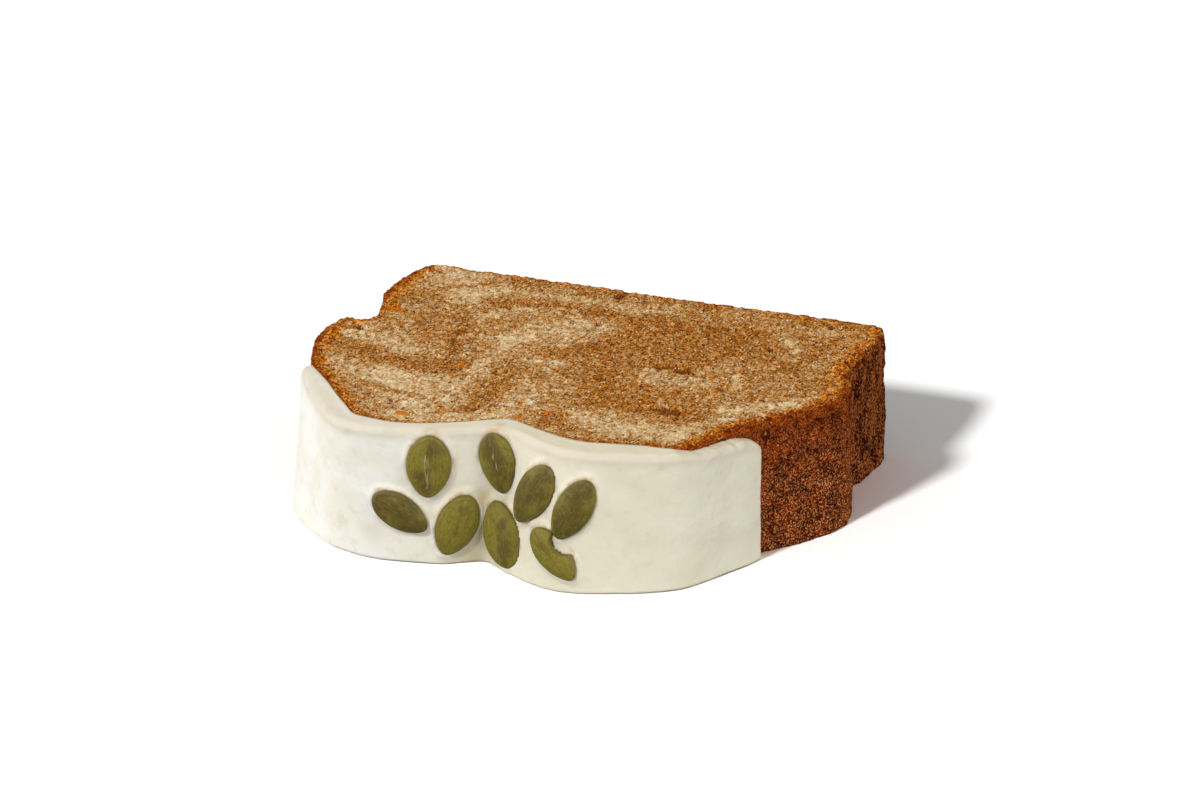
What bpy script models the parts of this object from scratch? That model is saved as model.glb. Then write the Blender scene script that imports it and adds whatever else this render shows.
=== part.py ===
"""A slice of iced pumpkin loaf lying on its cut face, with eight pumpkin seeds set in the icing.

Metres, +Z up. +X runs across the loaf, the bottom crust is at +Y, and the iced dome at -Y. The origin is under
the middle of the whole slice, on the plane that it lies on.
"""

import math

import bmesh
import bpy
from mathutils import Matrix, Vector, noise

# Thickness of the slice: at the middle, and how much it grows for each metre towards the dome and towards +X.
SLICE_THICKNESS = 0.0282
THICKER_TO_DOME = 0.0213
THICKER_TO_RIGHT = 0.006

# How far the finished bodies move for the origin to lie under their middle.
CENTRING = (0.0001, 0.0003, 0.0)

# Outline of the iced stretch, from the icing's left end to its right end. Each row holds a point of the bread at
# the upper cut, the bread's point below it on the floor, then the icing's outer face at the same two heights.
ICED_OUTLINE = [
    ((-0.0494, -0.0176), (-0.0502, -0.0184), (-0.0512, -0.0188), (-0.0526, -0.0206)),
    ((-0.0474, -0.0198), (-0.0486, -0.0208), (-0.0500, -0.0212), (-0.0520, -0.0236)),
    ((-0.0439, -0.0237), (-0.0453, -0.0254), (-0.0474, -0.0252), (-0.0496, -0.0284)),
    ((-0.0398, -0.0289), (-0.0409, -0.0300), (-0.0442, -0.0302), (-0.0462, -0.0322)),
    ((-0.0358, -0.0336), (-0.0366, -0.0334), (-0.0406, -0.0355), (-0.0412, -0.0364)),
    ((-0.0324, -0.0373), (-0.0324, -0.0356), (-0.0358, -0.0406), (-0.0360, -0.0396)),
    ((-0.0286, -0.0381), (-0.0280, -0.0366), (-0.0302, -0.0430), (-0.0296, -0.0412)),
    ((-0.0241, -0.0385), (-0.0240, -0.0368), (-0.0246, -0.0425), (-0.0240, -0.0412)),
    ((-0.0196, -0.0376), (-0.0194, -0.0364), (-0.0186, -0.0408), (-0.0184, -0.0404)),
    ((-0.0152, -0.0359), (-0.0148, -0.0354), (-0.0138, -0.0390), (-0.0136, -0.0391)),
    ((-0.0110, -0.0338), (-0.0109, -0.0332), (-0.0090, -0.0368), (-0.0098, -0.0370)),
    ((-0.0070, -0.0314), (-0.0074, -0.0318), (-0.0052, -0.0350), (-0.0064, -0.0356)),
    ((-0.0032, -0.0297), (-0.0036, -0.0326), (-0.0020, -0.0346), (-0.0030, -0.0372)),
    ((0.0006, -0.0310), (0.0002, -0.0350), (0.0018, -0.0361), (0.0010, -0.0396)),
    ((0.0046, -0.0327), (0.0046, -0.0372), (0.0060, -0.0386), (0.0056, -0.0418)),
    ((0.0090, -0.0343), (0.0092, -0.0380), (0.0105, -0.0402), (0.0104, -0.0429)),
    ((0.0140, -0.0350), (0.0142, -0.0374), (0.0155, -0.0406), (0.0156, -0.0424)),
    ((0.0196, -0.0341), (0.0198, -0.0358), (0.0212, -0.0396), (0.0214, -0.0404)),
    ((0.0254, -0.0331), (0.0254, -0.0336), (0.0272, -0.0380), (0.0274, -0.0380)),
    ((0.0306, -0.0327), (0.0302, -0.0306), (0.0330, -0.0354), (0.0330, -0.0344)),
    ((0.0340, -0.0294), (0.0337, -0.0266), (0.0370, -0.0304), (0.0370, -0.0290)),
    ((0.0366, -0.0236), (0.0364, -0.0226), (0.0398, -0.0249), (0.0396, -0.0246)),
    ((0.0389, -0.0189), (0.0394, -0.0184), (0.0420, -0.0202), (0.0424, -0.0198)),
    ((0.0416, -0.0145), (0.0421, -0.0142), (0.0438, -0.0158), (0.0440, -0.0156)),
]

# Outline of the bare crust, on from the icing's right end: right shoulder and notch, bottom crust, left wall, left
# notch and shoulder. Each row holds a point at the upper cut, and the point below it on the floor.
BARE_OUTLINE = [
    ((0.0434, -0.0120), (0.0440, -0.0120)),
    ((0.0464, -0.0087), (0.0473, -0.0085)),
    ((0.0497, -0.0043), (0.0510, -0.0038)),
    ((0.0524, 0.0006), (0.0536, 0.0008)),
    ((0.0539, 0.0044), (0.0549, 0.0048)),
    ((0.0540, 0.0078), (0.0546, 0.0086)),
    ((0.0533, 0.0108), (0.0536, 0.0130)),
    ((0.0519, 0.0134), (0.0515, 0.0166)),
    ((0.0515, 0.0178), (0.0510, 0.0208)),
    ((0.0521, 0.0240), (0.0521, 0.0250)),
    ((0.0526, 0.0317), (0.0530, 0.0320)),
    ((0.0523, 0.0380), (0.0531, 0.0384)),
    ((0.0506, 0.0407), (0.0510, 0.0408)),
    ((0.0466, 0.0413), (0.0460, 0.0413)),
    ((0.0290, 0.0417), (0.0288, 0.0419)),
    ((0.0118, 0.0418), (0.0118, 0.0422)),
    ((-0.0057, 0.0421), (-0.0056, 0.0425)),
    ((-0.0235, 0.0427), (-0.0234, 0.0430)),
    ((-0.0391, 0.0430), (-0.0388, 0.0430)),
    ((-0.0452, 0.0432), (-0.0448, 0.0430)),
    ((-0.0476, 0.0425), (-0.0474, 0.0424)),
    ((-0.0492, 0.0392), (-0.0492, 0.0392)),
    ((-0.0506, 0.0334), (-0.0508, 0.0334)),
    ((-0.0511, 0.0266), (-0.0514, 0.0264)),
    ((-0.0502, 0.0216), (-0.0506, 0.0210)),
    ((-0.0486, 0.0166), (-0.0492, 0.0160)),
    ((-0.0478, 0.0126), (-0.0484, 0.0120)),
    ((-0.0485, 0.0102), (-0.0490, 0.0096)),
    ((-0.0500, 0.0090), (-0.0504, 0.0082)),
    ((-0.0526, 0.0093), (-0.0529, 0.0084)),
    ((-0.0543, 0.0076), (-0.0544, 0.0064)),
    ((-0.0549, 0.0034), (-0.0549, 0.0024)),
    ((-0.0549, -0.0008), (-0.0550, -0.0018)),
    ((-0.0542, -0.0054), (-0.0545, -0.0064)),
    ((-0.0528, -0.0102), (-0.0533, -0.0110)),
    ((-0.0512, -0.0142), (-0.0519, -0.0150)),
]

BREAD_CUT = [row[0] for row in ICED_OUTLINE + BARE_OUTLINE]
BREAD_FLOOR = [row[1] for row in ICED_OUTLINE + BARE_OUTLINE]
ICING_CUT = [row[2] for row in ICED_OUTLINE]
ICING_FLOOR = [row[3] for row in ICED_OUTLINE]
ICED_END = len(ICED_OUTLINE) - 1

# Mesh spacing along the outline, the mesh columns in the span at each end of the icing, and the rings up the crust.
OUTLINE_STEP = 0.0025
END_COLUMNS = 5
CRUST_RINGS = 10

# Relief: how far the bare crust's crags stand out and how wide they are, how far round from the icing they fade in,
# then the depth of the hollows in the upper cut, the cells that they are pressed into, and their grain.
CRAG_DEPTH = 0.0005
CRAG_WIDTH = 0.0045
CRAG_FADE_SPANS = 1.5
HOLLOW_DEPTH = 0.0005
HOLLOW_WIDTH = 0.0036
HOLLOW_GRAIN = 0.0021

# The icing's gap to the bread and the seeds, the roundness of its edges and ends, and how high its foot stays off
# the floor, which is most at the left lobe, at the row given here.
CONTACT_GAP = 0.0003
ICING_TOP_ROUND = 0.0014
ICING_FOOT_ROUND = 0.0022
ICING_END_ROUND = 0.0026
ICING_END_THICKNESS = 0.3
ICING_FOOT_HEIGHT = 0.0002
ICING_FOOT_LIFT = 0.0009
ICING_LIFT_ROW = 6
ICING_LIFT_ROWS = 3.0
ICING_WALL_RINGS = 7
ICING_ROUND_STEPS = 4
ICING_INNER_RINGS = 4

# How far the icing's top edge lies below the cut at the last rows, where its right corner is torn.
ICING_DROPS = {19: 0.0, 20: 0.0014, 21: 0.0020, 22: 0.0028, 23: 0.0060}

# Each seed's place along X and its height, the lean of its pointed end from straight up, clockwise as seen from in
# front, how far it is turned to +X from lying flat on the icing, then its length and width.
SEEDS = {
    "seed_1": (-0.0216, 0.0114, 123.0, 0.0, 0.0123, 0.0070),
    "seed_2": (-0.0161, 0.0214, -177.0, 0.0, 0.0131, 0.0084),
    "seed_3": (-0.0113, 0.0088, -158.0, 0.0, 0.0133, 0.0078),
    "seed_4": (-0.0033, 0.0221, 167.0, 4.0, 0.0123, 0.0070),
    "seed_5": (-0.0018, 0.0078, 164.0, 16.0, 0.0137, 0.0080),
    "seed_6": (0.0057, 0.0187, -154.0, 14.0, 0.0140, 0.0071),
    "seed_7": (0.0141, 0.0176, -153.0, 4.0, 0.0137, 0.0069),
    "seed_8": (0.0104, 0.0079, 136.0, 4.0, 0.0123, 0.0066),
}
SEED_THICKNESS = 0.0027
SEED_OUT = 0.0006
SEED_SEGMENTS = 16
SEED_RINGS = 10
SEED_REACH = 0.0030

# The seed with a piece broken out, and the piece's place across and along that seed, and its radius.
BITTEN_SEED = "seed_8"
BITE_PLACE = (-0.0034, -0.0006)
BITE_RADIUS = 0.0027
BITE_SEGMENTS = 16

CRUMB_COLOUR = (0.50, 0.27, 0.10)
ICING_COLOUR = (0.86, 0.80, 0.66)
SEED_COLOUR = (0.14, 0.13, 0.03)


def clear_scene():
    """Removes whatever objects the file opened with."""
    for obj in list(bpy.data.objects):
        bpy.data.objects.remove(obj, do_unlink=True)


def make_material(name, colour, roughness):
    material = bpy.data.materials.new(name)
    material.use_nodes = True
    shader = material.node_tree.nodes["Principled BSDF"]
    shader.inputs["Base Color"].default_value = (*colour, 1.0)
    shader.inputs["Roughness"].default_value = roughness
    shader.inputs["Metallic"].default_value = 0.0
    return material


def add_object(name, bm, material):
    """Puts a finished bmesh in the scene as a smooth-shaded object with sharp edges where it turns."""
    bmesh.ops.translate(bm, vec=CENTRING, verts=bm.verts)
    mesh = bpy.data.meshes.new(name)
    bm.to_mesh(mesh)
    bm.free()
    mesh.shade_smooth()
    mesh.set_sharp_from_angle(angle=math.radians(40))
    mesh.materials.append(material)
    obj = bpy.data.objects.new(name, mesh)
    bpy.context.scene.collection.objects.link(obj)
    return obj


def make_cutter(obj):
    obj.hide_render = True
    obj.display_type = "WIRE"


def cut_away(obj, cutter):
    boolean = obj.modifiers.new(cutter.name, "BOOLEAN")
    boolean.operation = "DIFFERENCE"
    boolean.solver = "EXACT"
    boolean.object = cutter


def smooth_step(value):
    value = min(max(value, 0.0), 1.0)
    return value * value * (3 - 2 * value)


def between(first, second, start, end, at):
    """The point that lies between two others as at lies between start and end."""
    return first.lerp(second, (at - start) / (end - start))


def curve_point(points, u, closed):
    """The point at u of a centripetal Catmull-Rom curve: whole values of u are the control points."""
    count = len(points)
    span = min(math.floor(u), count - 1 if closed else count - 2)
    near = [Vector(points[(span + step) % count]) for step in (-1, 0, 1, 2)]
    if not closed and span == 0:
        near[0] = near[1] * 2 - near[2]
    if not closed and span == count - 2:
        near[3] = near[2] * 2 - near[1]
    knots = [0.0]
    for first, second in zip(near, near[1:]):
        knots.append(knots[-1] + math.sqrt((second - first).length))
    at = knots[1] + (u - span) * (knots[2] - knots[1])
    low = [between(near[i], near[i + 1], knots[i], knots[i + 1], at) for i in range(3)]
    mid = [between(low[i], low[i + 1], knots[i], knots[i + 2], at) for i in range(2)]
    return between(mid[0], mid[1], knots[1], knots[2], at)


def thickness_at(place):
    """Height of the upper cut, which is slightly tilted, above the floor."""
    return SLICE_THICKNESS - THICKER_TO_DOME * place.y + THICKER_TO_RIGHT * place.x


def stations():
    """Values of u round the bread, closer together at the icing's two ends."""
    found = []
    for span, start in enumerate(BREAD_CUT):
        end = BREAD_CUT[(span + 1) % len(BREAD_CUT)]
        columns = max(1, round((Vector(end) - Vector(start)).length / OUTLINE_STEP))
        if span in (0, ICED_END - 1):
            columns = END_COLUMNS
        found += [span + step / columns for step in range(columns)]
    return found


def outward_at(points, u):
    """The level direction out of the bread's outline at u."""
    step = 0.02
    ahead = curve_point(points, (u + step) % len(points), closed=True)
    behind = curve_point(points, (u - step) % len(points), closed=True)
    along = ahead - behind
    return Vector((along.y, -along.x)).normalized()


def crag_mask(u):
    """1 on the bare crust, falling to 0 where the icing begins."""
    bare_spans = len(BREAD_CUT) - ICED_END
    into = u - ICED_END
    return smooth_step(min(into, bare_spans - into) / CRAG_FADE_SPANS)


def crust_point(u, height):
    """A point of the bread's side, crags and all. height is 0 on the floor and 1 at the upper cut."""
    cut = curve_point(BREAD_CUT, u, closed=True)
    floor = curve_point(BREAD_FLOOR, u, closed=True)
    place = floor.lerp(cut, height)
    rise = height * thickness_at(cut)
    crag = noise.noise(Vector((place.x, place.y, rise)) / CRAG_WIDTH)
    place += outward_at(BREAD_CUT, u) * CRAG_DEPTH * crag * crag_mask(u)
    return Vector((place.x, place.y, height * thickness_at(place)))


def loft(rings):
    """A closed body through rings of equally many points: the first ring is extruded on to each of the others."""
    bm = bmesh.new()
    verts = [bm.verts.new(place) for place in rings[0]]
    edges = [bm.edges.new(pair) for pair in zip(verts, verts[1:] + verts[:1])]
    bmesh.ops.edgeloop_fill(bm, edges=edges)
    for ring in rings[1:]:
        made = bmesh.ops.extrude_edge_only(bm, edges=edges)["geom"]
        verts = [item for item in made if isinstance(item, bmesh.types.BMVert)]
        edges = [item for item in made if isinstance(item, bmesh.types.BMEdge)]
        for vert, place in zip(verts, ring):
            vert.co = place
    bmesh.ops.edgeloop_fill(bm, edges=edges)
    bmesh.ops.recalc_face_normals(bm, faces=bm.faces)
    return bm


def faces_up(face):
    return face.normal.z > 0.99


def hollow_the_cut(bm):
    """Divides the upper cut into small cells and presses uneven hollows into it, as an open crumb has."""
    for axis in (Vector((1, 0, 0)), Vector((0, 1, 0))):
        reach = [vert.co.dot(axis) for vert in bm.verts]
        lines = math.floor((max(reach) - min(reach)) / HOLLOW_WIDTH)
        for line in range(1, lines + 1):
            faces = list(filter(faces_up, bm.faces))
            edges = {edge for face in faces for edge in face.edges}
            verts = {vert for face in faces for vert in face.verts}
            bmesh.ops.bisect_plane(
                bm,
                geom=[*verts, *edges, *faces],
                dist=1e-5,
                plane_co=axis * (min(reach) + line * HOLLOW_WIDTH),
                plane_no=axis,
            )
    for vert in bm.verts:
        if all(map(faces_up, vert.link_faces)):
            hollow = 0.5 + 0.5 * noise.noise(vert.co / HOLLOW_GRAIN)
            vert.co.z -= HOLLOW_DEPTH * hollow
    bmesh.ops.triangulate(bm, faces=list(filter(faces_up, bm.faces)))


def make_bread(material):
    columns = stations()
    rings = [[crust_point(u, ring / CRUST_RINGS) for u in columns] for ring in range(CRUST_RINGS + 1)]
    bm = loft(rings)
    hollow_the_cut(bm)
    return add_object("bread_slice", bm, material)


def drop_at(u):
    """How far the icing's top edge lies below the cut."""
    rows = sorted(ICING_DROPS)
    if u <= rows[0]:
        return ICING_DROPS[rows[0]]
    row = min(math.floor(u), rows[-2])
    return ICING_DROPS[row] + (ICING_DROPS[row + 1] - ICING_DROPS[row]) * (u - row)


def icing_section(u, from_end):
    """The icing's outline where it is cut across at u: over its top, down its face, under its foot and back up."""
    cut = curve_point(BREAD_CUT, u, closed=True)
    floor = curve_point(BREAD_FLOOR, u, closed=True)
    rise = thickness_at(cut)
    inner_cut = cut + outward_at(BREAD_CUT, u) * CONTACT_GAP
    inner_floor = floor + outward_at(BREAD_FLOOR, u) * CONTACT_GAP
    round_off = math.sqrt(1 - (1 - min(from_end / ICING_END_ROUND, 1)) ** 2)
    share = ICING_END_THICKNESS + (1 - ICING_END_THICKNESS) * round_off
    outer_cut = inner_cut.lerp(curve_point(ICING_CUT, u, closed=False), share)
    outer_floor = inner_floor.lerp(curve_point(ICING_FLOOR, u, closed=False), share)
    thick = (outer_cut - inner_cut).length
    top_round = min(ICING_TOP_ROUND, thick * 0.4)
    foot_round = min(ICING_FOOT_ROUND, thick * 0.6)
    lifted = smooth_step(1 - abs(u - ICING_LIFT_ROW) / ICING_LIFT_ROWS)
    foot = ICING_FOOT_HEIGHT + ICING_FOOT_LIFT * lifted
    top = rise - drop_at(u)

    def place(out, z):
        inner = inner_floor.lerp(inner_cut, z / rise)
        outer = outer_floor.lerp(outer_cut, z / rise)
        flat = inner.lerp(outer, out / thick)
        tilt = (thickness_at(flat) - rise) * z / rise
        return Vector((flat.x, flat.y, z + tilt))

    quarter = [math.pi / 2 * step / ICING_ROUND_STEPS for step in range(ICING_ROUND_STEPS + 1)]
    over = [
        place(thick - top_round * (1 - math.sin(a)), top - top_round * (1 - math.cos(a))) for a in quarter
    ]
    under = [
        place(thick - foot_round * (1 - math.cos(a)), foot + foot_round * (1 - math.sin(a))) for a in quarter
    ]
    wall_top, wall_foot = top - top_round, foot + foot_round
    wall = [
        place(thick, wall_top + (wall_foot - wall_top) * ring / ICING_WALL_RINGS)
        for ring in range(1, ICING_WALL_RINGS)
    ]
    back = [
        place(0, foot + (top - foot) * ring / ICING_INNER_RINGS) for ring in range(ICING_INNER_RINGS + 1)
    ]
    return over + wall + under + back


def make_icing(material):
    columns = [u for u in stations() if u < ICED_END] + [ICED_END]
    face = [curve_point(ICING_CUT, u, closed=False) for u in columns]
    travelled = [0.0]
    for first, second in zip(face, face[1:]):
        travelled.append(travelled[-1] + (second - first).length)
    sections = [
        icing_section(u, min(distance, travelled[-1] - distance)) for u, distance in zip(columns, travelled)
    ]
    return add_object("icing", loft(sections), material)


def icing_face(x, z):
    """The point of the icing's outer face at this place along X and this height."""
    steps = 20
    last = None
    for step in range(ICED_END * steps + 1):
        u = step / steps
        cut = curve_point(ICING_CUT, u, closed=False)
        here = curve_point(ICING_FLOOR, u, closed=False).lerp(cut, z / thickness_at(cut))
        if last and last.x <= x <= here.x:
            here = between(last, here, last.x, here.x, x)
            return Vector((here.x, here.y, z))
        last = here
    raise ValueError("the icing does not reach that far along X")


def seed_frame(x, z, lean, turn):
    """Where a seed lies: its columns are the directions across it, out of the icing and along it, and its middle."""
    left, middle, right = (icing_face(x + step, z) for step in (-SEED_REACH, 0, SEED_REACH))
    across = (right - left).normalized()
    up = (icing_face(x, z + SEED_REACH) - icing_face(x, z - SEED_REACH)).normalized()
    outward = across.cross(up).normalized()
    up = outward.cross(across)
    centre = (left + middle * 2 + right) / 4 + outward * SEED_OUT
    turned = Matrix.Rotation(math.radians(turn), 3, up)
    outward = turned @ outward
    along = turned @ (up * math.cos(math.radians(lean)) + across * math.sin(math.radians(lean)))
    side = along.cross(outward)
    frame = Matrix((side, outward, along)).transposed().to_4x4()
    frame.translation = centre
    return frame


def seed_bmesh(frame, length, width, thickness):
    """A flattened seed, blunt at one end and pointed at the other, shaped from a sphere with its poles at the ends."""
    bm = bmesh.new()
    bmesh.ops.create_uvsphere(bm, u_segments=SEED_SEGMENTS, v_segments=SEED_RINGS, radius=1.0)
    for vert in bm.verts:
        along = vert.co.z
        taper = 1 - 0.16 * along - 0.14 * along * along
        vert.co = Vector((
            vert.co.x * taper * 1.04 * width / 2,
            vert.co.y * thickness / 2,
            along * length / 2,
        ))
    bmesh.ops.transform(bm, matrix=frame, verts=bm.verts)
    bmesh.ops.recalc_face_normals(bm, faces=bm.faces)
    return bm


def bite_bmesh(frame, radius):
    """An upright post through the seed, which takes the broken piece out."""
    bm = bmesh.new()
    depth = SEED_THICKNESS * 3
    bmesh.ops.create_cone(
        bm,
        cap_ends=True,
        segments=BITE_SEGMENTS,
        radius1=radius,
        radius2=radius,
        depth=depth,
        matrix=Matrix.Translation((BITE_PLACE[0], 0, BITE_PLACE[1])) @ Matrix.Rotation(math.pi / 2, 4, "X"),
    )
    bmesh.ops.transform(bm, matrix=frame, verts=bm.verts)
    bmesh.ops.recalc_face_normals(bm, faces=bm.faces)
    return bm


def make_seed(name, icing, material):
    """A seed and its pocket in the icing."""
    x, z, lean, turn, length, width = SEEDS[name]
    frame = seed_frame(x, z, lean, turn)
    seed = add_object(name, seed_bmesh(frame, length, width, SEED_THICKNESS), material)
    wider = CONTACT_GAP * 2
    pocket_mesh = seed_bmesh(frame, length + wider, width + wider, SEED_THICKNESS + wider)
    pocket = add_object(name + "_pocket", pocket_mesh, material)
    make_cutter(pocket)
    if name == BITTEN_SEED:
        for obj, radius in ((seed, BITE_RADIUS), (pocket, BITE_RADIUS - CONTACT_GAP)):
            bite = add_object(obj.name + "_bite", bite_bmesh(frame, radius), material)
            make_cutter(bite)
            cut_away(obj, bite)
    cut_away(icing, pocket)


def main():
    clear_scene()
    make_bread(make_material("crumb", CRUMB_COLOUR, 0.85))
    icing = make_icing(make_material("icing", ICING_COLOUR, 0.45))
    seed_material = make_material("pumpkin_seed", SEED_COLOUR, 0.5)
    for name in SEEDS:
        make_seed(name, icing, seed_material)


main()
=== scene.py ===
"""The looks of a slice of iced pumpkin loaf: marbled crumb, browned crust, cream icing and pumpkin seeds.

Metres, +Z up. +X runs across the loaf, the bottom crust is at +Y and the iced dome at -Y. The slice lies on
its lower cut face.
"""

import math
from collections import namedtuple
from types import SimpleNamespace

import bmesh
import bpy
import numpy as np
from mathutils import Matrix, Vector, noise


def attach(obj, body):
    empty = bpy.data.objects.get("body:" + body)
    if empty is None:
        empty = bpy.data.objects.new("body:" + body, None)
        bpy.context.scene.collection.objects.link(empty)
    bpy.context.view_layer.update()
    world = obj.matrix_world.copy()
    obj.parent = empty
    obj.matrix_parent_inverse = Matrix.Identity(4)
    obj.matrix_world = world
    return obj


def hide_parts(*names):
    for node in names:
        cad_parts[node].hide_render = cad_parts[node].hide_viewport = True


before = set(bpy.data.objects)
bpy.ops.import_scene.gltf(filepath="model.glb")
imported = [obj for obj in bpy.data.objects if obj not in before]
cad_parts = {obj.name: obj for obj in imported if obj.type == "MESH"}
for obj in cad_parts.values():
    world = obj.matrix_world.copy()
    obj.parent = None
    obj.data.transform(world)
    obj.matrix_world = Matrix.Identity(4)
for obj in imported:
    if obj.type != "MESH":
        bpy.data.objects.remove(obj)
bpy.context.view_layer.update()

# Thickness of the slice: at the middle, and how much it grows for each metre towards the dome and towards
# +X.
SLICE_THICKNESS = 0.0282
THICKER_TO_DOME = 0.0213
THICKER_TO_RIGHT = 0.006

# How far the finished bodies move for the origin to lie under their middle.
CENTRING = Vector((0.0001, 0.0003, 0.0))

# Outline of the iced stretch, from the icing's left end to its right end. Each row holds a point of the
# bread at the upper cut, the bread's point below it on the floor, then the icing's outer face at the same
# two heights.
ICED_OUTLINE = [
    ((-0.0494, -0.0176), (-0.0502, -0.0184), (-0.0512, -0.0188), (-0.0526, -0.0206)),
    ((-0.0474, -0.0198), (-0.0486, -0.0208), (-0.0500, -0.0212), (-0.0520, -0.0236)),
    ((-0.0439, -0.0237), (-0.0453, -0.0254), (-0.0474, -0.0252), (-0.0496, -0.0284)),
    ((-0.0398, -0.0289), (-0.0409, -0.0300), (-0.0442, -0.0302), (-0.0462, -0.0322)),
    ((-0.0358, -0.0336), (-0.0366, -0.0334), (-0.0406, -0.0355), (-0.0412, -0.0364)),
    ((-0.0324, -0.0373), (-0.0324, -0.0356), (-0.0358, -0.0406), (-0.0360, -0.0396)),
    ((-0.0286, -0.0381), (-0.0280, -0.0366), (-0.0302, -0.0430), (-0.0296, -0.0412)),
    ((-0.0241, -0.0385), (-0.0240, -0.0368), (-0.0246, -0.0425), (-0.0240, -0.0412)),
    ((-0.0196, -0.0376), (-0.0194, -0.0364), (-0.0186, -0.0408), (-0.0184, -0.0404)),
    ((-0.0152, -0.0359), (-0.0148, -0.0354), (-0.0138, -0.0390), (-0.0136, -0.0391)),
    ((-0.0110, -0.0338), (-0.0109, -0.0332), (-0.0090, -0.0368), (-0.0098, -0.0370)),
    ((-0.0070, -0.0314), (-0.0074, -0.0318), (-0.0052, -0.0350), (-0.0064, -0.0356)),
    ((-0.0032, -0.0297), (-0.0036, -0.0326), (-0.0020, -0.0346), (-0.0030, -0.0372)),
    ((0.0006, -0.0310), (0.0002, -0.0350), (0.0018, -0.0361), (0.0010, -0.0396)),
    ((0.0046, -0.0327), (0.0046, -0.0372), (0.0060, -0.0386), (0.0056, -0.0418)),
    ((0.0090, -0.0343), (0.0092, -0.0380), (0.0105, -0.0402), (0.0104, -0.0429)),
    ((0.0140, -0.0350), (0.0142, -0.0374), (0.0155, -0.0406), (0.0156, -0.0424)),
    ((0.0196, -0.0341), (0.0198, -0.0358), (0.0212, -0.0396), (0.0214, -0.0404)),
    ((0.0254, -0.0331), (0.0254, -0.0336), (0.0272, -0.0380), (0.0274, -0.0380)),
    ((0.0306, -0.0327), (0.0302, -0.0306), (0.0330, -0.0354), (0.0330, -0.0344)),
    ((0.0340, -0.0294), (0.0337, -0.0266), (0.0370, -0.0304), (0.0370, -0.0290)),
    ((0.0366, -0.0236), (0.0364, -0.0226), (0.0398, -0.0249), (0.0396, -0.0246)),
    ((0.0389, -0.0189), (0.0394, -0.0184), (0.0420, -0.0202), (0.0424, -0.0198)),
    ((0.0416, -0.0145), (0.0421, -0.0142), (0.0438, -0.0158), (0.0440, -0.0156)),
]

# Outline of the bare crust, on from the icing's right end: right shoulder and notch, bottom crust, left
# wall, left notch and shoulder. Each row holds a point at the upper cut, and the point below it on the
# floor.
BARE_OUTLINE = [
    ((0.0434, -0.0120), (0.0440, -0.0120)),
    ((0.0464, -0.0087), (0.0473, -0.0085)),
    ((0.0497, -0.0043), (0.0510, -0.0038)),
    ((0.0524, 0.0006), (0.0536, 0.0008)),
    ((0.0539, 0.0044), (0.0549, 0.0048)),
    ((0.0540, 0.0078), (0.0546, 0.0086)),
    ((0.0533, 0.0108), (0.0536, 0.0130)),
    ((0.0519, 0.0134), (0.0515, 0.0166)),
    ((0.0515, 0.0178), (0.0510, 0.0208)),
    ((0.0521, 0.0240), (0.0521, 0.0250)),
    ((0.0526, 0.0317), (0.0530, 0.0320)),
    ((0.0523, 0.0380), (0.0531, 0.0384)),
    ((0.0506, 0.0407), (0.0510, 0.0408)),
    ((0.0466, 0.0413), (0.0460, 0.0413)),
    ((0.0290, 0.0417), (0.0288, 0.0419)),
    ((0.0118, 0.0418), (0.0118, 0.0422)),
    ((-0.0057, 0.0421), (-0.0056, 0.0425)),
    ((-0.0235, 0.0427), (-0.0234, 0.0430)),
    ((-0.0391, 0.0430), (-0.0388, 0.0430)),
    ((-0.0452, 0.0432), (-0.0448, 0.0430)),
    ((-0.0476, 0.0425), (-0.0474, 0.0424)),
    ((-0.0492, 0.0392), (-0.0492, 0.0392)),
    ((-0.0506, 0.0334), (-0.0508, 0.0334)),
    ((-0.0511, 0.0266), (-0.0514, 0.0264)),
    ((-0.0502, 0.0216), (-0.0506, 0.0210)),
    ((-0.0486, 0.0166), (-0.0492, 0.0160)),
    ((-0.0478, 0.0126), (-0.0484, 0.0120)),
    ((-0.0485, 0.0102), (-0.0490, 0.0096)),
    ((-0.0500, 0.0090), (-0.0504, 0.0082)),
    ((-0.0526, 0.0093), (-0.0529, 0.0084)),
    ((-0.0543, 0.0076), (-0.0544, 0.0064)),
    ((-0.0549, 0.0034), (-0.0549, 0.0024)),
    ((-0.0549, -0.0008), (-0.0550, -0.0018)),
    ((-0.0542, -0.0054), (-0.0545, -0.0064)),
    ((-0.0528, -0.0102), (-0.0533, -0.0110)),
    ((-0.0512, -0.0142), (-0.0519, -0.0150)),
]

BREAD_CUT = [row[0] for row in ICED_OUTLINE + BARE_OUTLINE]
BREAD_FLOOR = [row[1] for row in ICED_OUTLINE + BARE_OUTLINE]
ICING_CUT = [row[2] for row in ICED_OUTLINE]
ICING_FLOOR = [row[3] for row in ICED_OUTLINE]
ICED_END = len(ICED_OUTLINE) - 1
ROWS = len(BREAD_CUT)

# Mesh spacing: along the crust and up it, in the upper cut and the lower cut, and along the icing.
CRUST_STEP = 0.00062
CRUST_RINGS = 52
CUT_CELL = 0.00042
UNDER_CELL = 0.0016
ICING_STEP = 0.00034

# Relief of the bare crust, as its depth and width: crags, knobs and grains. It sets in over some rows of
# the outline. Where the icing covers it, the side only dips a little.
CRAGS = ((0.00036, 0.0045), (0.00028, 0.0018), (0.00018, 0.0009))
CRAG_FADE_ROWS = 1.5
COVERED_DIP = 0.0002

# The bottom crust's rows of the outline, and how much weaker its relief is.
FLAT_CRUST = (36.0, 45.0)
FLAT_CRUST_CALM = 0.65

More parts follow.
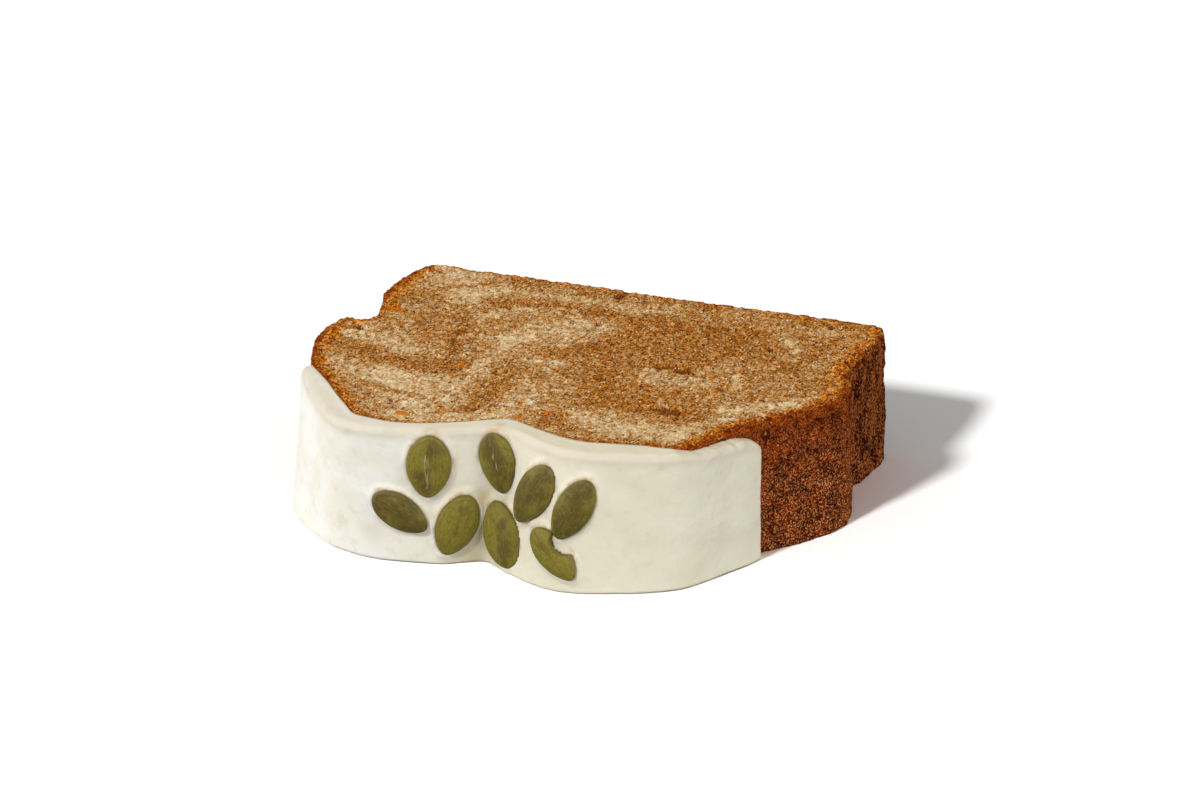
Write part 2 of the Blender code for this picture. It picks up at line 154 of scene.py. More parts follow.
# The marbling of the upper cut. Each swirl has how brown it is, from -1 for pale batter to 1 for dark, half
# its width, and the points that it runs through.
SWIRLS = [
    (-1.0, 0.0045, ((-0.043, 0.040), (-0.038, 0.036), (-0.033, 0.030))),
    (-0.7, 0.0018, ((-0.039, 0.028), (-0.033, 0.030), (-0.028, 0.0335), (-0.020, 0.033), (-0.008, 0.033),
                    (0.005, 0.033))),
    (-0.8, 0.0018, ((-0.026, 0.020), (-0.022, 0.025), (-0.015, 0.027), (-0.010, 0.025), (-0.004, 0.022),
                    (0.001, 0.024))),
    (-0.6, 0.0016, ((-0.008, 0.021), (0.000, 0.020))),
    (-0.9, 0.0042, ((-0.016, 0.010), (-0.013, 0.018), (-0.006, 0.014))),
    (-0.8, 0.0017, ((-0.0185, 0.010), (-0.018, 0.000), (-0.018, -0.015))),
    (-1.0, 0.0012, ((-0.008, 0.000), (-0.003, 0.000))),
    (-0.8, 0.0024, ((0.014, 0.001), (0.020, -0.001), (0.027, 0.000))),
    (-0.7, 0.0016, ((0.027, 0.008), (0.029, 0.014))),
    (-1.0, 0.0010, ((0.031, 0.006), (0.034, 0.000))),
    (-0.8, 0.0015, ((0.031, 0.028), (0.036, 0.026), (0.038, 0.022), (0.039, 0.018))),
    (-0.8, 0.0011, ((0.041, 0.037), (0.043, 0.033))),
    (-0.9, 0.0036, ((-0.047, 0.003), (-0.041, 0.001), (-0.035, -0.003))),
    (-0.9, 0.0026, ((-0.047, -0.012), (-0.042, -0.015), (-0.037, -0.018), (-0.030, -0.020))),
    (-1.0, 0.0052, ((-0.034, -0.016), (-0.026, -0.020), (-0.024, -0.028))),
    (-0.5, 0.0030, ((-0.0200, -0.0170), (-0.0185, -0.0220))),
    (-0.7, 0.0026, ((-0.005, -0.014), (-0.004, -0.022), (-0.006, -0.028))),
    (-0.9, 0.0017, ((-0.026, -0.0355), (-0.019, -0.0345), (-0.012, -0.0320), (-0.007, -0.0290))),
    (-1.0, 0.0044, ((0.011, -0.0255), (0.018, -0.0255), (0.027, -0.0265))),
    (0.7, 0.0014, ((0.0130, 0.0075), (0.0170, 0.0070), (0.0220, 0.0050))),
    (-0.9, 0.0026, ((0.034, -0.015), (0.033, -0.020), (0.031, -0.025))),
    (-1.4, 0.0016, ((0.034, -0.011), (0.038, -0.009), (0.044, -0.006), (0.050, -0.001))),
    (-1.2, 0.0008, ((0.036, -0.015), (0.042, -0.011), (0.046, -0.009))),
    (0.8, 0.0013, ((-0.039, 0.032), (-0.0345, 0.034), (-0.031, 0.037))),
    (0.6, 0.0020, ((-0.028, 0.0405), (0.000, 0.0405), (0.050, 0.039))),
    (0.9, 0.0026, ((-0.028, 0.027), (-0.010, 0.029), (0.010, 0.027), (0.030, 0.027))),
    (0.8, 0.0065, ((0.006, 0.020), (0.015, 0.022), (0.027, 0.020))),
    (0.5, 0.0040, ((0.010, 0.013), (0.024, 0.012))),
    (1.0, 0.0011, ((-0.0295, 0.016), (-0.0285, 0.008), (-0.0275, 0.002), (-0.027, -0.002))),
    (0.8, 0.0016, ((-0.009, 0.004), (-0.006, 0.0055), (-0.003, 0.009), (0.000, 0.012), (0.003, 0.013))),
    (0.7, 0.0050, ((0.001, 0.007), (0.006, 0.002), (0.008, -0.007))),
    (0.6, 0.0016, ((0.016, -0.005), (0.022, -0.007))),
    (0.9, 0.0040, ((0.010, -0.013), (0.020, -0.015), (0.029, -0.016))),
    (1.0, 0.0026, ((-0.052, -0.002), (-0.045, -0.006), (-0.038, -0.0085), (-0.031, -0.010),
                   (-0.022, -0.008))),
    (0.8, 0.0009, ((-0.038, -0.022), (-0.032, -0.023), (-0.023, -0.025))),
    (0.8, 0.0018, ((-0.012, -0.009), (-0.012, -0.020), (-0.012, -0.029))),
    (0.9, 0.0022, ((0.005, -0.027), (0.009, -0.029))),
    (0.5, 0.0030, ((-0.048, 0.022), (-0.042, 0.026))),
    (0.5, 0.0030, ((-0.036, 0.014), (-0.036, 0.009))),
    (0.5, 0.0024, ((0.040, 0.012), (0.042, 0.022), (0.045, 0.030))),
]

# How the swirls spread and add up: how much wider each is than its stroke, how flat its middle, the palest
# that they make the batter together, and how soon it is at its darkest.
SWIRL_SPREAD = 1.15
SWIRL_FLATNESS = 1.2
PALEST_SWIRL = -1.5
DARK_SWIRL_GAIN = 1.1

# The tone of plain batter, how much the swirls change it, and the strength and size of two mottles in it.
# The batter is browner towards +X, from a place on and over a distance.
MARBLE_MIDDLE = 0.50
MARBLE_GAIN = 0.48
MARBLE_MOTTLES = ((0.14, 0.0035), (0.20, 0.0016))
BROWNER_RIGHT = 0.08
BROWNER_FROM = 0.005
BROWNER_OVER = 0.035

# How far noise moves the swirls, the strokes and the holes, and the size of that noise.
SLOW_WARP = (0.0016, 0.006)
QUICK_WARP = (0.0006, 0.002)
STROKE_WARP = (0.0005, 0.0012)
HOLE_WARP = (0.0005, 0.0015)

# Holes in the upper cut: each with its depth, half its width, and the points that it runs through.
HOLES = [
    (0.0005, 0.00035, ((-0.0290, 0.011), (-0.0285, 0.007), (-0.0275, 0.002))),
    (0.0012, 0.0012, ((0.0148, 0.0056), (0.0175, 0.0064), (0.021, 0.0055))),
    (0.0012, 0.0007, ((-0.004, 0.0415), (-0.005, 0.038))),
    (0.0010, 0.0006, ((0.007, 0.039),)),
    (0.0010, 0.0007, ((0.013, 0.041), (0.016, 0.0408))),
    (0.0010, 0.0006, ((0.041, 0.038), (0.0415, 0.0365))),
    (0.0009, 0.0008, ((0.0410, 0.0225), (0.0425, 0.0220))),
    (0.0011, 0.0008, ((-0.0145, -0.0080), (-0.0135, -0.0090))),
    (0.0010, 0.0007, ((0.006, -0.0035), (0.0075, -0.0042))),
    (0.0010, 0.0009, ((0.0300, -0.0005), (0.0310, -0.0015))),
    (0.0010, 0.0006, ((0.0385, -0.0005),)),
    (0.0014, 0.0009, ((-0.0495, 0.0065), (-0.0485, 0.0045))),
    (0.0012, 0.0014, ((0.0225, -0.0145), (0.0255, -0.0150))),
    (0.0018, 0.0004, ((0.0262, -0.0147),)),
    (0.0018, 0.0004, ((0.0275, -0.0048),)),
    (0.0008, 0.0007, ((-0.0045, 0.0232), (-0.0035, 0.0228))),
    (0.0008, 0.0006, ((-0.0245, 0.0260), (-0.0235, 0.0250))),
    (0.0008, 0.0007, ((-0.0225, 0.0020), (-0.0215, 0.0016))),
    (0.0010, 0.0006, ((0.0165, -0.0212),)),
    (0.0009, 0.0006, ((-0.0288, -0.0280), (-0.0280, -0.0284))),
    (0.0010, 0.0005, ((-0.0253, -0.0270),)),
    (0.0010, 0.0007, ((-0.0125, -0.0262), (-0.0112, -0.0266))),
    (0.0008, 0.0006, ((0.0330, 0.0230), (0.0335, 0.0210))),
    (0.0007, 0.0007, ((-0.0130, 0.0275), (-0.0110, 0.0270))),
]

# How uneven the holes' widths are, and the size of that unevenness.
HOLE_UNEVENNESS = (0.7, 0.0010)

# Relief of the open crumb: the depth, width and seed of its lumps, and how far it is sunk for them to stay
# near the cut. Then how deep its pores are, how far apart, and what share of them is open.
CRUMB_LUMPS = ((0.00018, 0.0030, 2.0), (0.00022, 0.0013, 4.0), (0.00018, 0.0007, 6.0))
CRUMB_SUNK = 0.00016
PORE_DEPTH = 0.00045
PORE_SPACING = 0.0026
PORES_OPEN = 0.48

# How far the upper cut drops at its rim, bare and beside the icing, and over what width.
RIM_DROP = 0.0002
RIM_DROP_ICED = 0.00006
RIM_DROP_WIDTH = 0.0009

# How much wider a shred or a flake is than its stroke, where it fades out.
STROKE_SPREAD = 1.6

# Shreds of pumpkin in the upper cut: half the width, and the points that each runs through.
SHREDS = [
    (0.0011, ((-0.0475, 0.0170), (-0.0450, 0.0160))),
    (0.0004, ((-0.0220, -0.0062), (-0.0217, -0.0078))),
    (0.0005, ((-0.0085, -0.0052), (-0.0078, -0.0058))),
    (0.0004, ((0.0045, 0.0055),)),
    (0.0004, ((0.0270, 0.0036), (0.0273, 0.0024))),
    (0.0006, ((-0.0248, -0.0333), (-0.0232, -0.0337))),
    (0.0006, ((-0.0184, -0.0282), (-0.0173, -0.0290))),
    (0.0005, ((-0.0042, -0.0208), (-0.0041, -0.0220))),
    (0.0005, ((0.0020, -0.0235), (0.0028, -0.0248))),
    (0.0004, ((-0.0087, -0.0267), (-0.0081, -0.0276))),
    (0.0004, ((0.0062, -0.0233), (0.0072, -0.0238))),
    (0.0004, ((-0.0020, -0.0273), (-0.0022, -0.0283))),
    (0.0004, ((0.0125, -0.0212),)),
    (0.0003, ((0.0025, -0.0185),)),
    (0.0004, ((-0.0348, -0.0271), (-0.0342, -0.0274))),
]

# White flakes in the upper cut: half the width, and the points that each runs through.
FLAKES = [
    (0.0005, ((-0.0256, -0.0284), (-0.0236, -0.0280))),
    (0.0005, ((-0.0075, -0.0230), (-0.0055, -0.0226))),
    (0.0005, ((-0.0030, -0.0212), (-0.0022, -0.0200))),
    (0.0003, ((-0.0292, -0.0280),)),
    (0.0004, ((0.0346, -0.0156), (0.0368, -0.0146))),
    (0.0005, ((-0.0352, -0.0196), (-0.0338, -0.0198))),
    (0.0004, ((-0.0197, -0.0190), (-0.0193, -0.0178))),
    (0.0004, ((-0.0060, 0.0004), (-0.0046, 0.0000))),
]

# Width of the browned rim on the cuts at some rows of the outline. In between it runs straight.
RIM_WIDTHS = {
    0: 0.0042, 2: 0.0036, 4: 0.0030, 6: 0.0016, 8: 0.0012, 11: 0.0006, 13: 0.0006, 15: 0.0012,
    17: 0.0024, 19: 0.0030, 20: 0.0034, 22: 0.0030, 24: 0.0022, 26: 0.0026, 28: 0.0046, 30: 0.0048,
    32: 0.0050, 34: 0.0046, 36: 0.0030, 37: 0.0020, 40: 0.0014, 43: 0.0016, 45: 0.0044, 47: 0.0050,
    49: 0.0034, 50: 0.0020, 52: 0.0022, 53: 0.0044, 55: 0.0052, 57: 0.0048, 59: 0.0044,
}

# A rim that is narrower than this is also paler, down to a share. Its inner edge is ragged, as the
# strength, width and seed of two noises.
FULL_RIM = 0.0018
PALEST_RIM = 0.4
RIM_RAGGED = ((0.5, 0.0018, 81.0), (0.3, 0.0007, 83.0))

# How far down from the cut the crust glows, and where the far wall begins at the right: along Y and along
# X, each with the distance over which its look sets in.
GLOW_DEPTH = 0.004
FAR_WALL_Y = (0.010, 0.006)
FAR_WALL_X = (0.030, 0.010)

# The icing's gap to the bread, the roundness of its edges and ends, and how high its foot stays off the
# floor, which is most at the left lobe, at the row given here.
CONTACT_GAP = 0.00004
ICING_TOP_ROUND = 0.0015
ICING_FOOT_ROUND = 0.0006
ICING_END_ROUND = 0.0012
ICING_END_THICKNESS = 0.45
ICING_FOOT_HEIGHT = 0.0001
ICING_FOOT_LIFT = 0.0002
ICING_LIFT_ROW = 6
ICING_LIFT_ROWS = 3.0
ICING_WALL_RINGS = 76
ICING_ROUND_STEPS = 6
ICING_BAND_STEPS = 9
ICING_INNER_RINGS = 8

# How far the icing's top edge lies below the cut at some rows of the outline, and the row from which it is
# torn. The torn edge goes up and down by a broad and a fine noise, each with its depth. It is crumpled too,
# as the depth, width and seed of two more noises. The crumples lean this way.
ICING_DROPS = {19: 0.0, 20: 0.0013, 21: 0.0018, 22: 0.0022, 22.6: 0.0032, 23: 0.0048}
TORN_FROM = 19.3
TORN_RAGGED = 0.00025
TORN_RAGGED_FINE = 0.00004
TORN_CRUMPLES = ((0.0002, 0.0026, 15.0), (0.00008, 0.0009, 17.0))
CRUMPLE_LEAN = (0.3, -0.3, 1.0)

# The depth, width and seed of the waves in the icing's face.
ICING_WAVES = ((0.00022, 0.011, 1.0), (0.00010, 0.004, 2.0), (0.00004, 0.0014, 3.0))

# How far the icing's right end sways along its face, how far in from the end that reaches, and the heights
# over which it sways, broadly and finely.
END_WAVE = 0.0005
END_WAVE_REACH = 0.0015
END_WAVE_BROAD = 0.004
END_WAVE_FINE = 0.0012

# How many rings of the icing the painted shade along its upper edge reaches, down the face and in over the
# cut.
EDGE_SHADE_FACE = 5.0
EDGE_SHADE_BAND = 3.0

# Painted shade on the icing, which makes it a little greyer or yellower between and below the seeds and
# near the foot: a place along X, its height, how far it reaches and how much. The shades lie only in front
# of a place along Y.
ICING_SHADES = [
    (-0.0060, 0.0142, 0.0024, 1.0),
    (-0.0062, 0.0045, 0.0030, 0.8),
    (-0.0150, 0.0160, 0.0030, 0.25),
    (-0.0270, 0.0060, 0.0030, 0.3),
    (-0.0120, 0.0235, 0.0030, 0.2),
    (-0.0085, 0.0012, 0.0030, 0.9),
]
ICING_FRONT = -0.02

# Each seed's place along X and its height, the lean of its pointed end from straight up, clockwise as seen
# from in front, how far it is turned to +X from lying flat on the icing, then its length and width, how
# high the icing wells up round it, and how much it narrows to its pointed end.
Seed = namedtuple("Seed", "x z lean turn length width welt taper")
SEEDS = {
    "seed_1": Seed(-0.0216, 0.0114, 123.0, 0.0, 0.0123, 0.0070, 0.0004, 0.12),
    "seed_2": Seed(-0.0161, 0.0214, -177.0, 0.0, 0.0131, 0.0084, 0.0004, 0.07),
    "seed_3": Seed(-0.0113, 0.0088, -158.0, 0.0, 0.0133, 0.0078, 0.0006, 0.04),
    "seed_4": Seed(-0.0033, 0.0221, 167.0, 4.0, 0.0123, 0.0070, 0.0005, 0.16),
    "seed_5": Seed(-0.0018, 0.0078, 164.0, 16.0, 0.0137, 0.0080, 0.0005, -0.08),
    "seed_6": Seed(0.0057, 0.0187, -154.0, 14.0, 0.0140, 0.0071, 0.0005, 0.12),
    "seed_7": Seed(0.0141, 0.0176, -153.0, 4.0, 0.0137, 0.0069, 0.0004, 0.04),
    "seed_8": Seed(0.0104, 0.0079, 136.0, 4.0, 0.0123, 0.0066, 0.0005, 0.10),
}

# Pale scuffs on the seeds: half the width, and the points that each runs through, across and along the seed
# from -1 to 1.
SCUFFS = {
    "seed_2": [
        (0.10, ((0.14, -0.38), (0.10, 0.00))),
        (0.06, ((0.02, -0.30), (0.06, 0.25))),
        (0.07, ((0.12, 0.05), (0.05, 0.60))),
    ],
    "seed_4": [(0.06, ((0.06, -0.34), (-0.11, 0.25)))],
}

# How much lighter each seed's skin is than most.
SEED_TONES = {
    "seed_1": -0.30, "seed_2": 0.10, "seed_3": 0.35, "seed_4": -0.12, "seed_5": 0.25, "seed_6": -0.15,
    "seed_7": -0.30, "seed_8": 0.35,
}

# The seeds' thickness, how far their middles lie out of the icing's face, and how far round a seed that
# face is measured. Their ends are narrower than their middles by the share SEED_ROUNDED_ENDS, and
# SEED_FULLNESS makes up for some of the width that this takes. SEED_FLATNESS is a power under 1, which
# flattens the faces and makes the edges blunt.
SEED_THICKNESS = 0.0027
SEED_OUT = 0.0006
SEED_REACH = 0.0030
SEED_FULLNESS = 1.04
SEED_ROUNDED_ENDS = 0.14
SEED_FLATNESS = 0.85
SEED_SEGMENTS = 56
SEED_RINGS = 44

# A seed's raised rim, the groove inside it and the hollow along its middle: how much each changes the
# thickness, where it lies between the middle at 0 and the outline at 1, and its width.
SEED_RIM = (0.10, 0.93, 0.05)
SEED_GROOVE = (-0.07, 0.84, 0.06)
SEED_HOLLOW = (-0.03, 0.0, 0.16)

# How uneven a seed's outline and its faces are.
SEED_WOBBLE = 0.02
SEED_WAVE = 0.00006

# The seed with a piece broken out: the middle of the break across and along it, and its radius. No welt
# stands within BITE_CLEAR times that radius.
BITTEN_SEED = "seed_8"
BITE_PLACE = (-0.0034, -0.0006)
BITE_RADIUS = 0.0027
BITE_CLEAR = 1.25

# Round a seed, where its outline is at 1: how far from the face and how far out the icing changes, its gap
# below the seed, where the welt and the brown stain are, and how wide.
SEED_NEAR = 0.004
SEED_NEAR_RING = 1.8
SOCKET_GAP = 0.00005
WELT_RING = (1.06, 0.15)
STAIN_RING = (1.05, 0.11)

# The camera looks at this point from this direction and distance. The last two values set where the point
# lies in the picture: how far the camera aims above it and to its left.
CAMERA_POINT = Vector((0.0024, 0.0026, 0.014))
CAMERA_AZIMUTH = 19.5
CAMERA_ELEVATION = 24.5
CAMERA_DISTANCE = 0.9
CAMERA_LENS = 137.52
SENSOR_WIDTH = 36.0
AIM_ABOVE = 0.0070
AIM_LEFT = 0.0006

# The main lamp throws the shadow. The others are broad and light the slice alone: each has the direction
# that it comes from, and its strength. The room gives an even light from all round.
LAMP_FROM = Vector((-0.31, -0.72, 0.615))
LAMP_STRENGTH = 1.42
LAMP_ANGLE = 7.0
BROAD_LAMPS = {
    "lamp_right": ((0.95, -0.28, 0.15), 2.6),
    "lamp_left": ((-0.97, -0.16, 0.20), 2.45),
    "lamp_front": ((0.00, -0.90, 0.44), 0.42),
    "lamp_above": ((0.00, 0.00, 1.00), 0.30),
}
BROAD_ANGLE = 70.0
ROOM_LIGHT = 0.16
FLOOR_SIZE = 4.0
FLOOR_SEEN = (2.42, 2.42, 2.40)
FLOOR_BOUNCE = (0.5, 0.5, 0.49)


def smooth_step(value):
    """Eases a value in and out between 0 and 1, and holds it at them beyond."""
    value = np.clip(value, 0.0, 1.0)
    return value * value * (3 - 2 * value)


def hump(value, middle, width):
    """1 at the middle, falling to 0 over about this width on both sides."""
    return np.exp(-(((value - middle) / width) ** 2))


def between(first, second, start, end, at):
    """The point that lies between two others as at lies between start and end."""
    return first.lerp(second, (at - start) / (end - start))


def curve_point(points, u, closed):
    """The point at u of a centripetal Catmull-Rom curve: whole values of u are the control points."""
    count = len(points)
    span = min(math.floor(u), count - 1 if closed else count - 2)
    near = [Vector(points[(span + step) % count]) for step in (-1, 0, 1, 2)]
    if not closed and span == 0:
        near[0] = near[1] * 2 - near[2]
    if not closed and span == count - 2:
        near[3] = near[2] * 2 - near[1]
    knots = [0.0]
    for first, second in zip(near, near[1:]):
        knots.append(knots[-1] + math.sqrt((second - first).length))
    at = knots[1] + (u - span) * (knots[2] - knots[1])
    low = [between(near[i], near[i + 1], knots[i], knots[i + 1], at) for i in range(3)]
    mid = [between(low[i], low[i + 1], knots[i], knots[i + 2], at) for i in range(2)]
    return between(mid[0], mid[1], knots[1], knots[2], at)


def thickness_at(x, y):
    """Height of the upper cut, which is slightly tilted, above the floor."""
    return SLICE_THICKNESS - THICKER_TO_DOME * y + THICKER_TO_RIGHT * x


def stations(step):
    """Values of u round the bread, this far apart."""
    found = []
    for span, start in enumerate(BREAD_CUT):
        end = BREAD_CUT[(span + 1) % ROWS]
        columns = max(1, round((Vector(end) - Vector(start)).length / step))
        found += [span + column / columns for column in range(columns)]
    return found


def outward_at(points, u):
    """The level direction out of the bread's outline at u."""
    step = 0.02
    ahead = curve_point(points, (u + step) % len(points), closed=True)
    behind = curve_point(points, (u - step) % len(points), closed=True)
    along = ahead - behind
    return Vector((along.y, -along.x)).normalized()


def crag_mask(u):
    """1 on the bare crust, falling to 0 where the icing begins and lower along the flat bottom crust."""
    into = u - ICED_END
    bare = float(smooth_step(min(into, ROWS - ICED_END - into) / CRAG_FADE_ROWS))
    flat = float(smooth_step(min(u - FLAT_CRUST[0], FLAT_CRUST[1] - u)))
    return bare * (1 - FLAT_CRUST_CALM * flat)


def noise_at(places, size, seed=0.0):
    """Smooth noise from about -1 to 1 with blobs of this size, at each of many places."""
    shift = Vector((seed, seed * 1.7, -seed))
    return np.array([noise.noise(Vector(place) / size + shift) for place in places])


def layered_noise(places, layers, shift=0.0):
    """Noise in several sizes at each of many places. Each layer has its depth, its width and a seed."""
    return sum(depth * noise_at(places, width, seed + shift) for depth, width, seed in layers)


def wander(places, much, size, seeds):
    """How far noise of this size moves each place on a cut along X and Y, up to this much."""
    return np.stack([noise_at(places, size, seed) for seed in seeds], 1) * much


def stroke_distance(places, points):
    """How far each place on the cut is from a line through some points."""
    nearest = np.full(len(places), np.inf)
    points = np.array(points)
    ends = points[1:] if len(points) > 1 else points
    for start, end in zip(points, ends):
        run = end - start
        share = np.clip((places - start) @ run / max(run @ run, 1e-12), 0, 1)
        nearest = np.minimum(nearest, np.linalg.norm(places - start - share[:, None] * run, axis=1))
    return nearest


def loft(rings):
    """A closed body through rings of equally many points. The first is extruded on to each other one."""
    bm = bmesh.new()
    verts = [bm.verts.new(place) for place in rings[0]]
    edges = [bm.edges.new(pair) for pair in zip(verts, verts[1:] + verts[:1])]
    bmesh.ops.edgeloop_fill(bm, edges=edges)
    for ring in rings[1:]:
        made = bmesh.ops.extrude_edge_only(bm, edges=edges)["geom"]
        verts = [item for item in made if isinstance(item, bmesh.types.BMVert)]
        edges = [item for item in made if isinstance(item, bmesh.types.BMEdge)]
        for vert, place in zip(verts, ring):
            vert.co = place
    bmesh.ops.edgeloop_fill(bm, edges=edges)
    bmesh.ops.recalc_face_normals(bm, faces=bm.faces)
    return bm


def mesh_from(bm, name):
    """A mesh from a bmesh, which is freed. Faces with more than four corners are made triangles first."""
    bmesh.ops.triangulate(bm, faces=[face for face in bm.faces if len(face.verts) > 4])
    mesh = bpy.data.meshes.new(name)
    bm.to_mesh(mesh)
    bm.free()
    return mesh


def corners_of(faces):
    """Indices of the vertices of these faces, in order."""
    return np.array(sorted({vert.index for face in faces for vert in face.verts}))


def read_places(mesh):
    """The places of a mesh's vertices, one in each row."""
    places = np.zeros(len(mesh.vertices) * 3)
    mesh.vertices.foreach_get("co", places)
    return places.reshape(-1, 3)


def write_values(mesh, name, channels):
    """Stores up to four values at each vertex, as the channels of one colour attribute."""
    count = len(mesh.vertices)
    table = np.zeros((count, 4), np.float32)
    for column, channel in enumerate(channels):
        table[:, column] = channel
    mesh.attributes.new(name, "FLOAT_COLOR", "POINT").data.foreach_set("color", table.ravel())


def finish_piece(name, mesh, material, slot, *nodes):
    """Puts a finished mesh in the scene as a piece that stands in for these nodes of the part."""
    mesh.shade_smooth()
    mesh.materials.append(material)
    piece = bpy.data.objects.new(name, mesh)
    bpy.context.scene.collection.objects.link(piece)
    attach(piece, "root")
    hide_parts(*nodes)
    return piece


def cut_into_cells(bm, faces, cell):
    """Divides a flat face into square cells by lines, each of which only cuts what lies beyond the last."""
    for axis in (Vector((1, 0, 0)), Vector((0, 1, 0))):
        reach = [vert.co.dot(axis) for face in faces for vert in face.verts]
        beyond = list(faces)
        done = []
        for line in range(1, math.floor((max(reach) - min(reach)) / cell) + 1):
            at = min(reach) + line * cell
            edges = {edge for face in beyond for edge in face.edges}
            verts = {vert for face in beyond for vert in face.verts}
            result = bmesh.ops.bisect_plane(
                bm, geom=[*verts, *edges, *beyond], dist=1e-6, plane_co=axis * at, plane_no=axis
            )
            pieces = [item for item in result["geom"] if isinstance(item, bmesh.types.BMFace)]
            beyond = []
            for piece in pieces:
                side = beyond if piece.calc_center_bounds().dot(axis) > at else done
                side.append(piece)
        faces = done + beyond
    return faces


def crust_rings(columns):
    """Rings of points up the bread's side, with its crags, knobs and grains."""
    rings = [[] for _ in range(CRUST_RINGS + 1)]
    for u in columns:
        cut = curve_point(BREAD_CUT, u, closed=True)
        floor = curve_point(BREAD_FLOOR, u, closed=True)
        outward = outward_at(BREAD_CUT, u)
        bare = crag_mask(u)
        for ring in range(CRUST_RINGS + 1):
            height = ring / CRUST_RINGS
            place = floor.lerp(cut, height)
            spot = Vector((place.x, place.y, height * thickness_at(cut.x, cut.y)))
            reliefs = [depth * noise.noise(spot / width) for depth, width in CRAGS]
            dip = COVERED_DIP * abs(reliefs[1]) / CRAGS[1][0]
            place += outward * (sum(reliefs) * bare - dip * (1 - bare))
            rings[ring].append(Vector((place.x, place.y, height * thickness_at(place.x, place.y))))
    return rings


def rim_distances(places):
    """How far each place is from the outline of the upper cut, and the row of the outline nearest to it."""
    outline_step = 0.0003
    batch = 4000
    rows = np.array(stations(outline_step))
    outline = np.array([curve_point(BREAD_CUT, u, closed=True) for u in rows])
    nearest = np.zeros(len(places))
    row_there = np.zeros(len(places))
    for start in range(0, len(places), batch):
        part = places[start:start + batch, None, :2] - outline[None]
        far = (part * part).sum(2)
        index = far.argmin(1)
        nearest[start:start + batch] = np.sqrt(far[np.arange(len(index)), index])
        row_there[start:start + batch] = rows[index]
    return nearest, row_there


def rim_browning(places, distance, rows):
    """How browned a cut is at each place, by its distance to the rim: 1 at a wide rim and 0 further in."""
    width = np.interp(rows, list(RIM_WIDTHS), list(RIM_WIDTHS.values()))
    ragged = 1 + layered_noise(places, RIM_RAGGED)
    strength = np.clip(width / FULL_RIM, PALEST_RIM, 1)
    return strength * np.clip(1 - distance / (width * ragged), 0, 1) ** 0.7


def marbling(places, shift):
    """How brown the batter is at each place on a cut, from 0 to 1. Two warps draw the swirls out."""
    flat = places[:, :2] + wander(places, *SLOW_WARP, (3.0 + shift, 9.0 + shift))
    flat = flat + wander(places, *QUICK_WARP, (5.0, 7.0))
    total = np.zeros(len(places))
    for brown, half_width, points in SWIRLS:
        far = stroke_distance(flat, points) / (half_width * SWIRL_SPREAD)
        total += brown * np.exp(-((far ** 2) ** SWIRL_FLATNESS))
    total = np.where(total < 0, np.maximum(total, PALEST_SWIRL), np.tanh(total * DARK_SWIRL_GAIN))
    (broad, broad_size), (narrow, narrow_size) = MARBLE_MOTTLES
    mottle = broad * noise_at(places, broad_size, 21.0 + shift)
    mottle += narrow * noise_at(places, narrow_size, 33.0)
    to_right = smooth_step((places[:, 0] - BROWNER_FROM) / BROWNER_OVER)
    return MARBLE_MIDDLE + MARBLE_GAIN * total + mottle + BROWNER_RIGHT * to_right


def nearest_strokes(places, strokes):
    """0 away from the strokes and 1 in the middle of one, with ragged edges."""
    flat = places[:, :2] + wander(places, *STROKE_WARP, (41.0, 47.0))
    found = np.zeros(len(places))
    for half_width, points in strokes:
        found = np.maximum(found, 1 - stroke_distance(flat, points) / (half_width * STROKE_SPREAD))
    return np.clip(found, 0, 1)


def pores(places, seed):
    """Depth from 0 to 1 of round pores in the crumb. Only some are open, in different sizes."""
    found = np.zeros(len(places))
    shift = Vector((seed, seed, seed))
    for index, place in enumerate(places):
        spot = Vector((place[0], place[1], place[2] * 0.2)) / PORE_SPACING + shift
        distances, centres = noise.voronoi(spot)
        chance = 0.5 + 0.5 * noise.noise(centres[0] * 3.3)
        if chance < PORES_OPEN:
            radius = 0.15 + 0.5 * chance
            found[index] = max(0.0, 1 - distances[0] / radius)
    return found


def crumb_relief(places, rim, rim_drop, holes, shift):
    """Height of an open crumb against its plane, which is never much above it and drops at the rim."""
    height = layered_noise(places, CRUMB_LUMPS, shift) - CRUMB_SUNK
    open_pores = pores(places, shift)
    height -= PORE_DEPTH * open_pores
    height -= holes
    at_rim = np.clip(1 - rim / RIM_DROP_WIDTH, 0, 1) ** 2
    height -= rim_drop * at_rim * (1 + noise_at(places, 0.0012, 12.0))
    return height, open_pores


def hole_depths(places):
    """How deep the holes are at each place on the upper cut."""
    flat = places[:, :2] + wander(places, *HOLE_WARP, (61.0, 67.0))
    unevenness, size = HOLE_UNEVENNESS
    uneven = 1 + unevenness * noise_at(places, size, 71.0)
    depth = np.zeros(len(places))
    for deep, half_width, points in HOLES:
        inside = smooth_step(1.5 - stroke_distance(flat, points) / (half_width * uneven))
        depth = np.maximum(depth, deep * inside)
    return depth


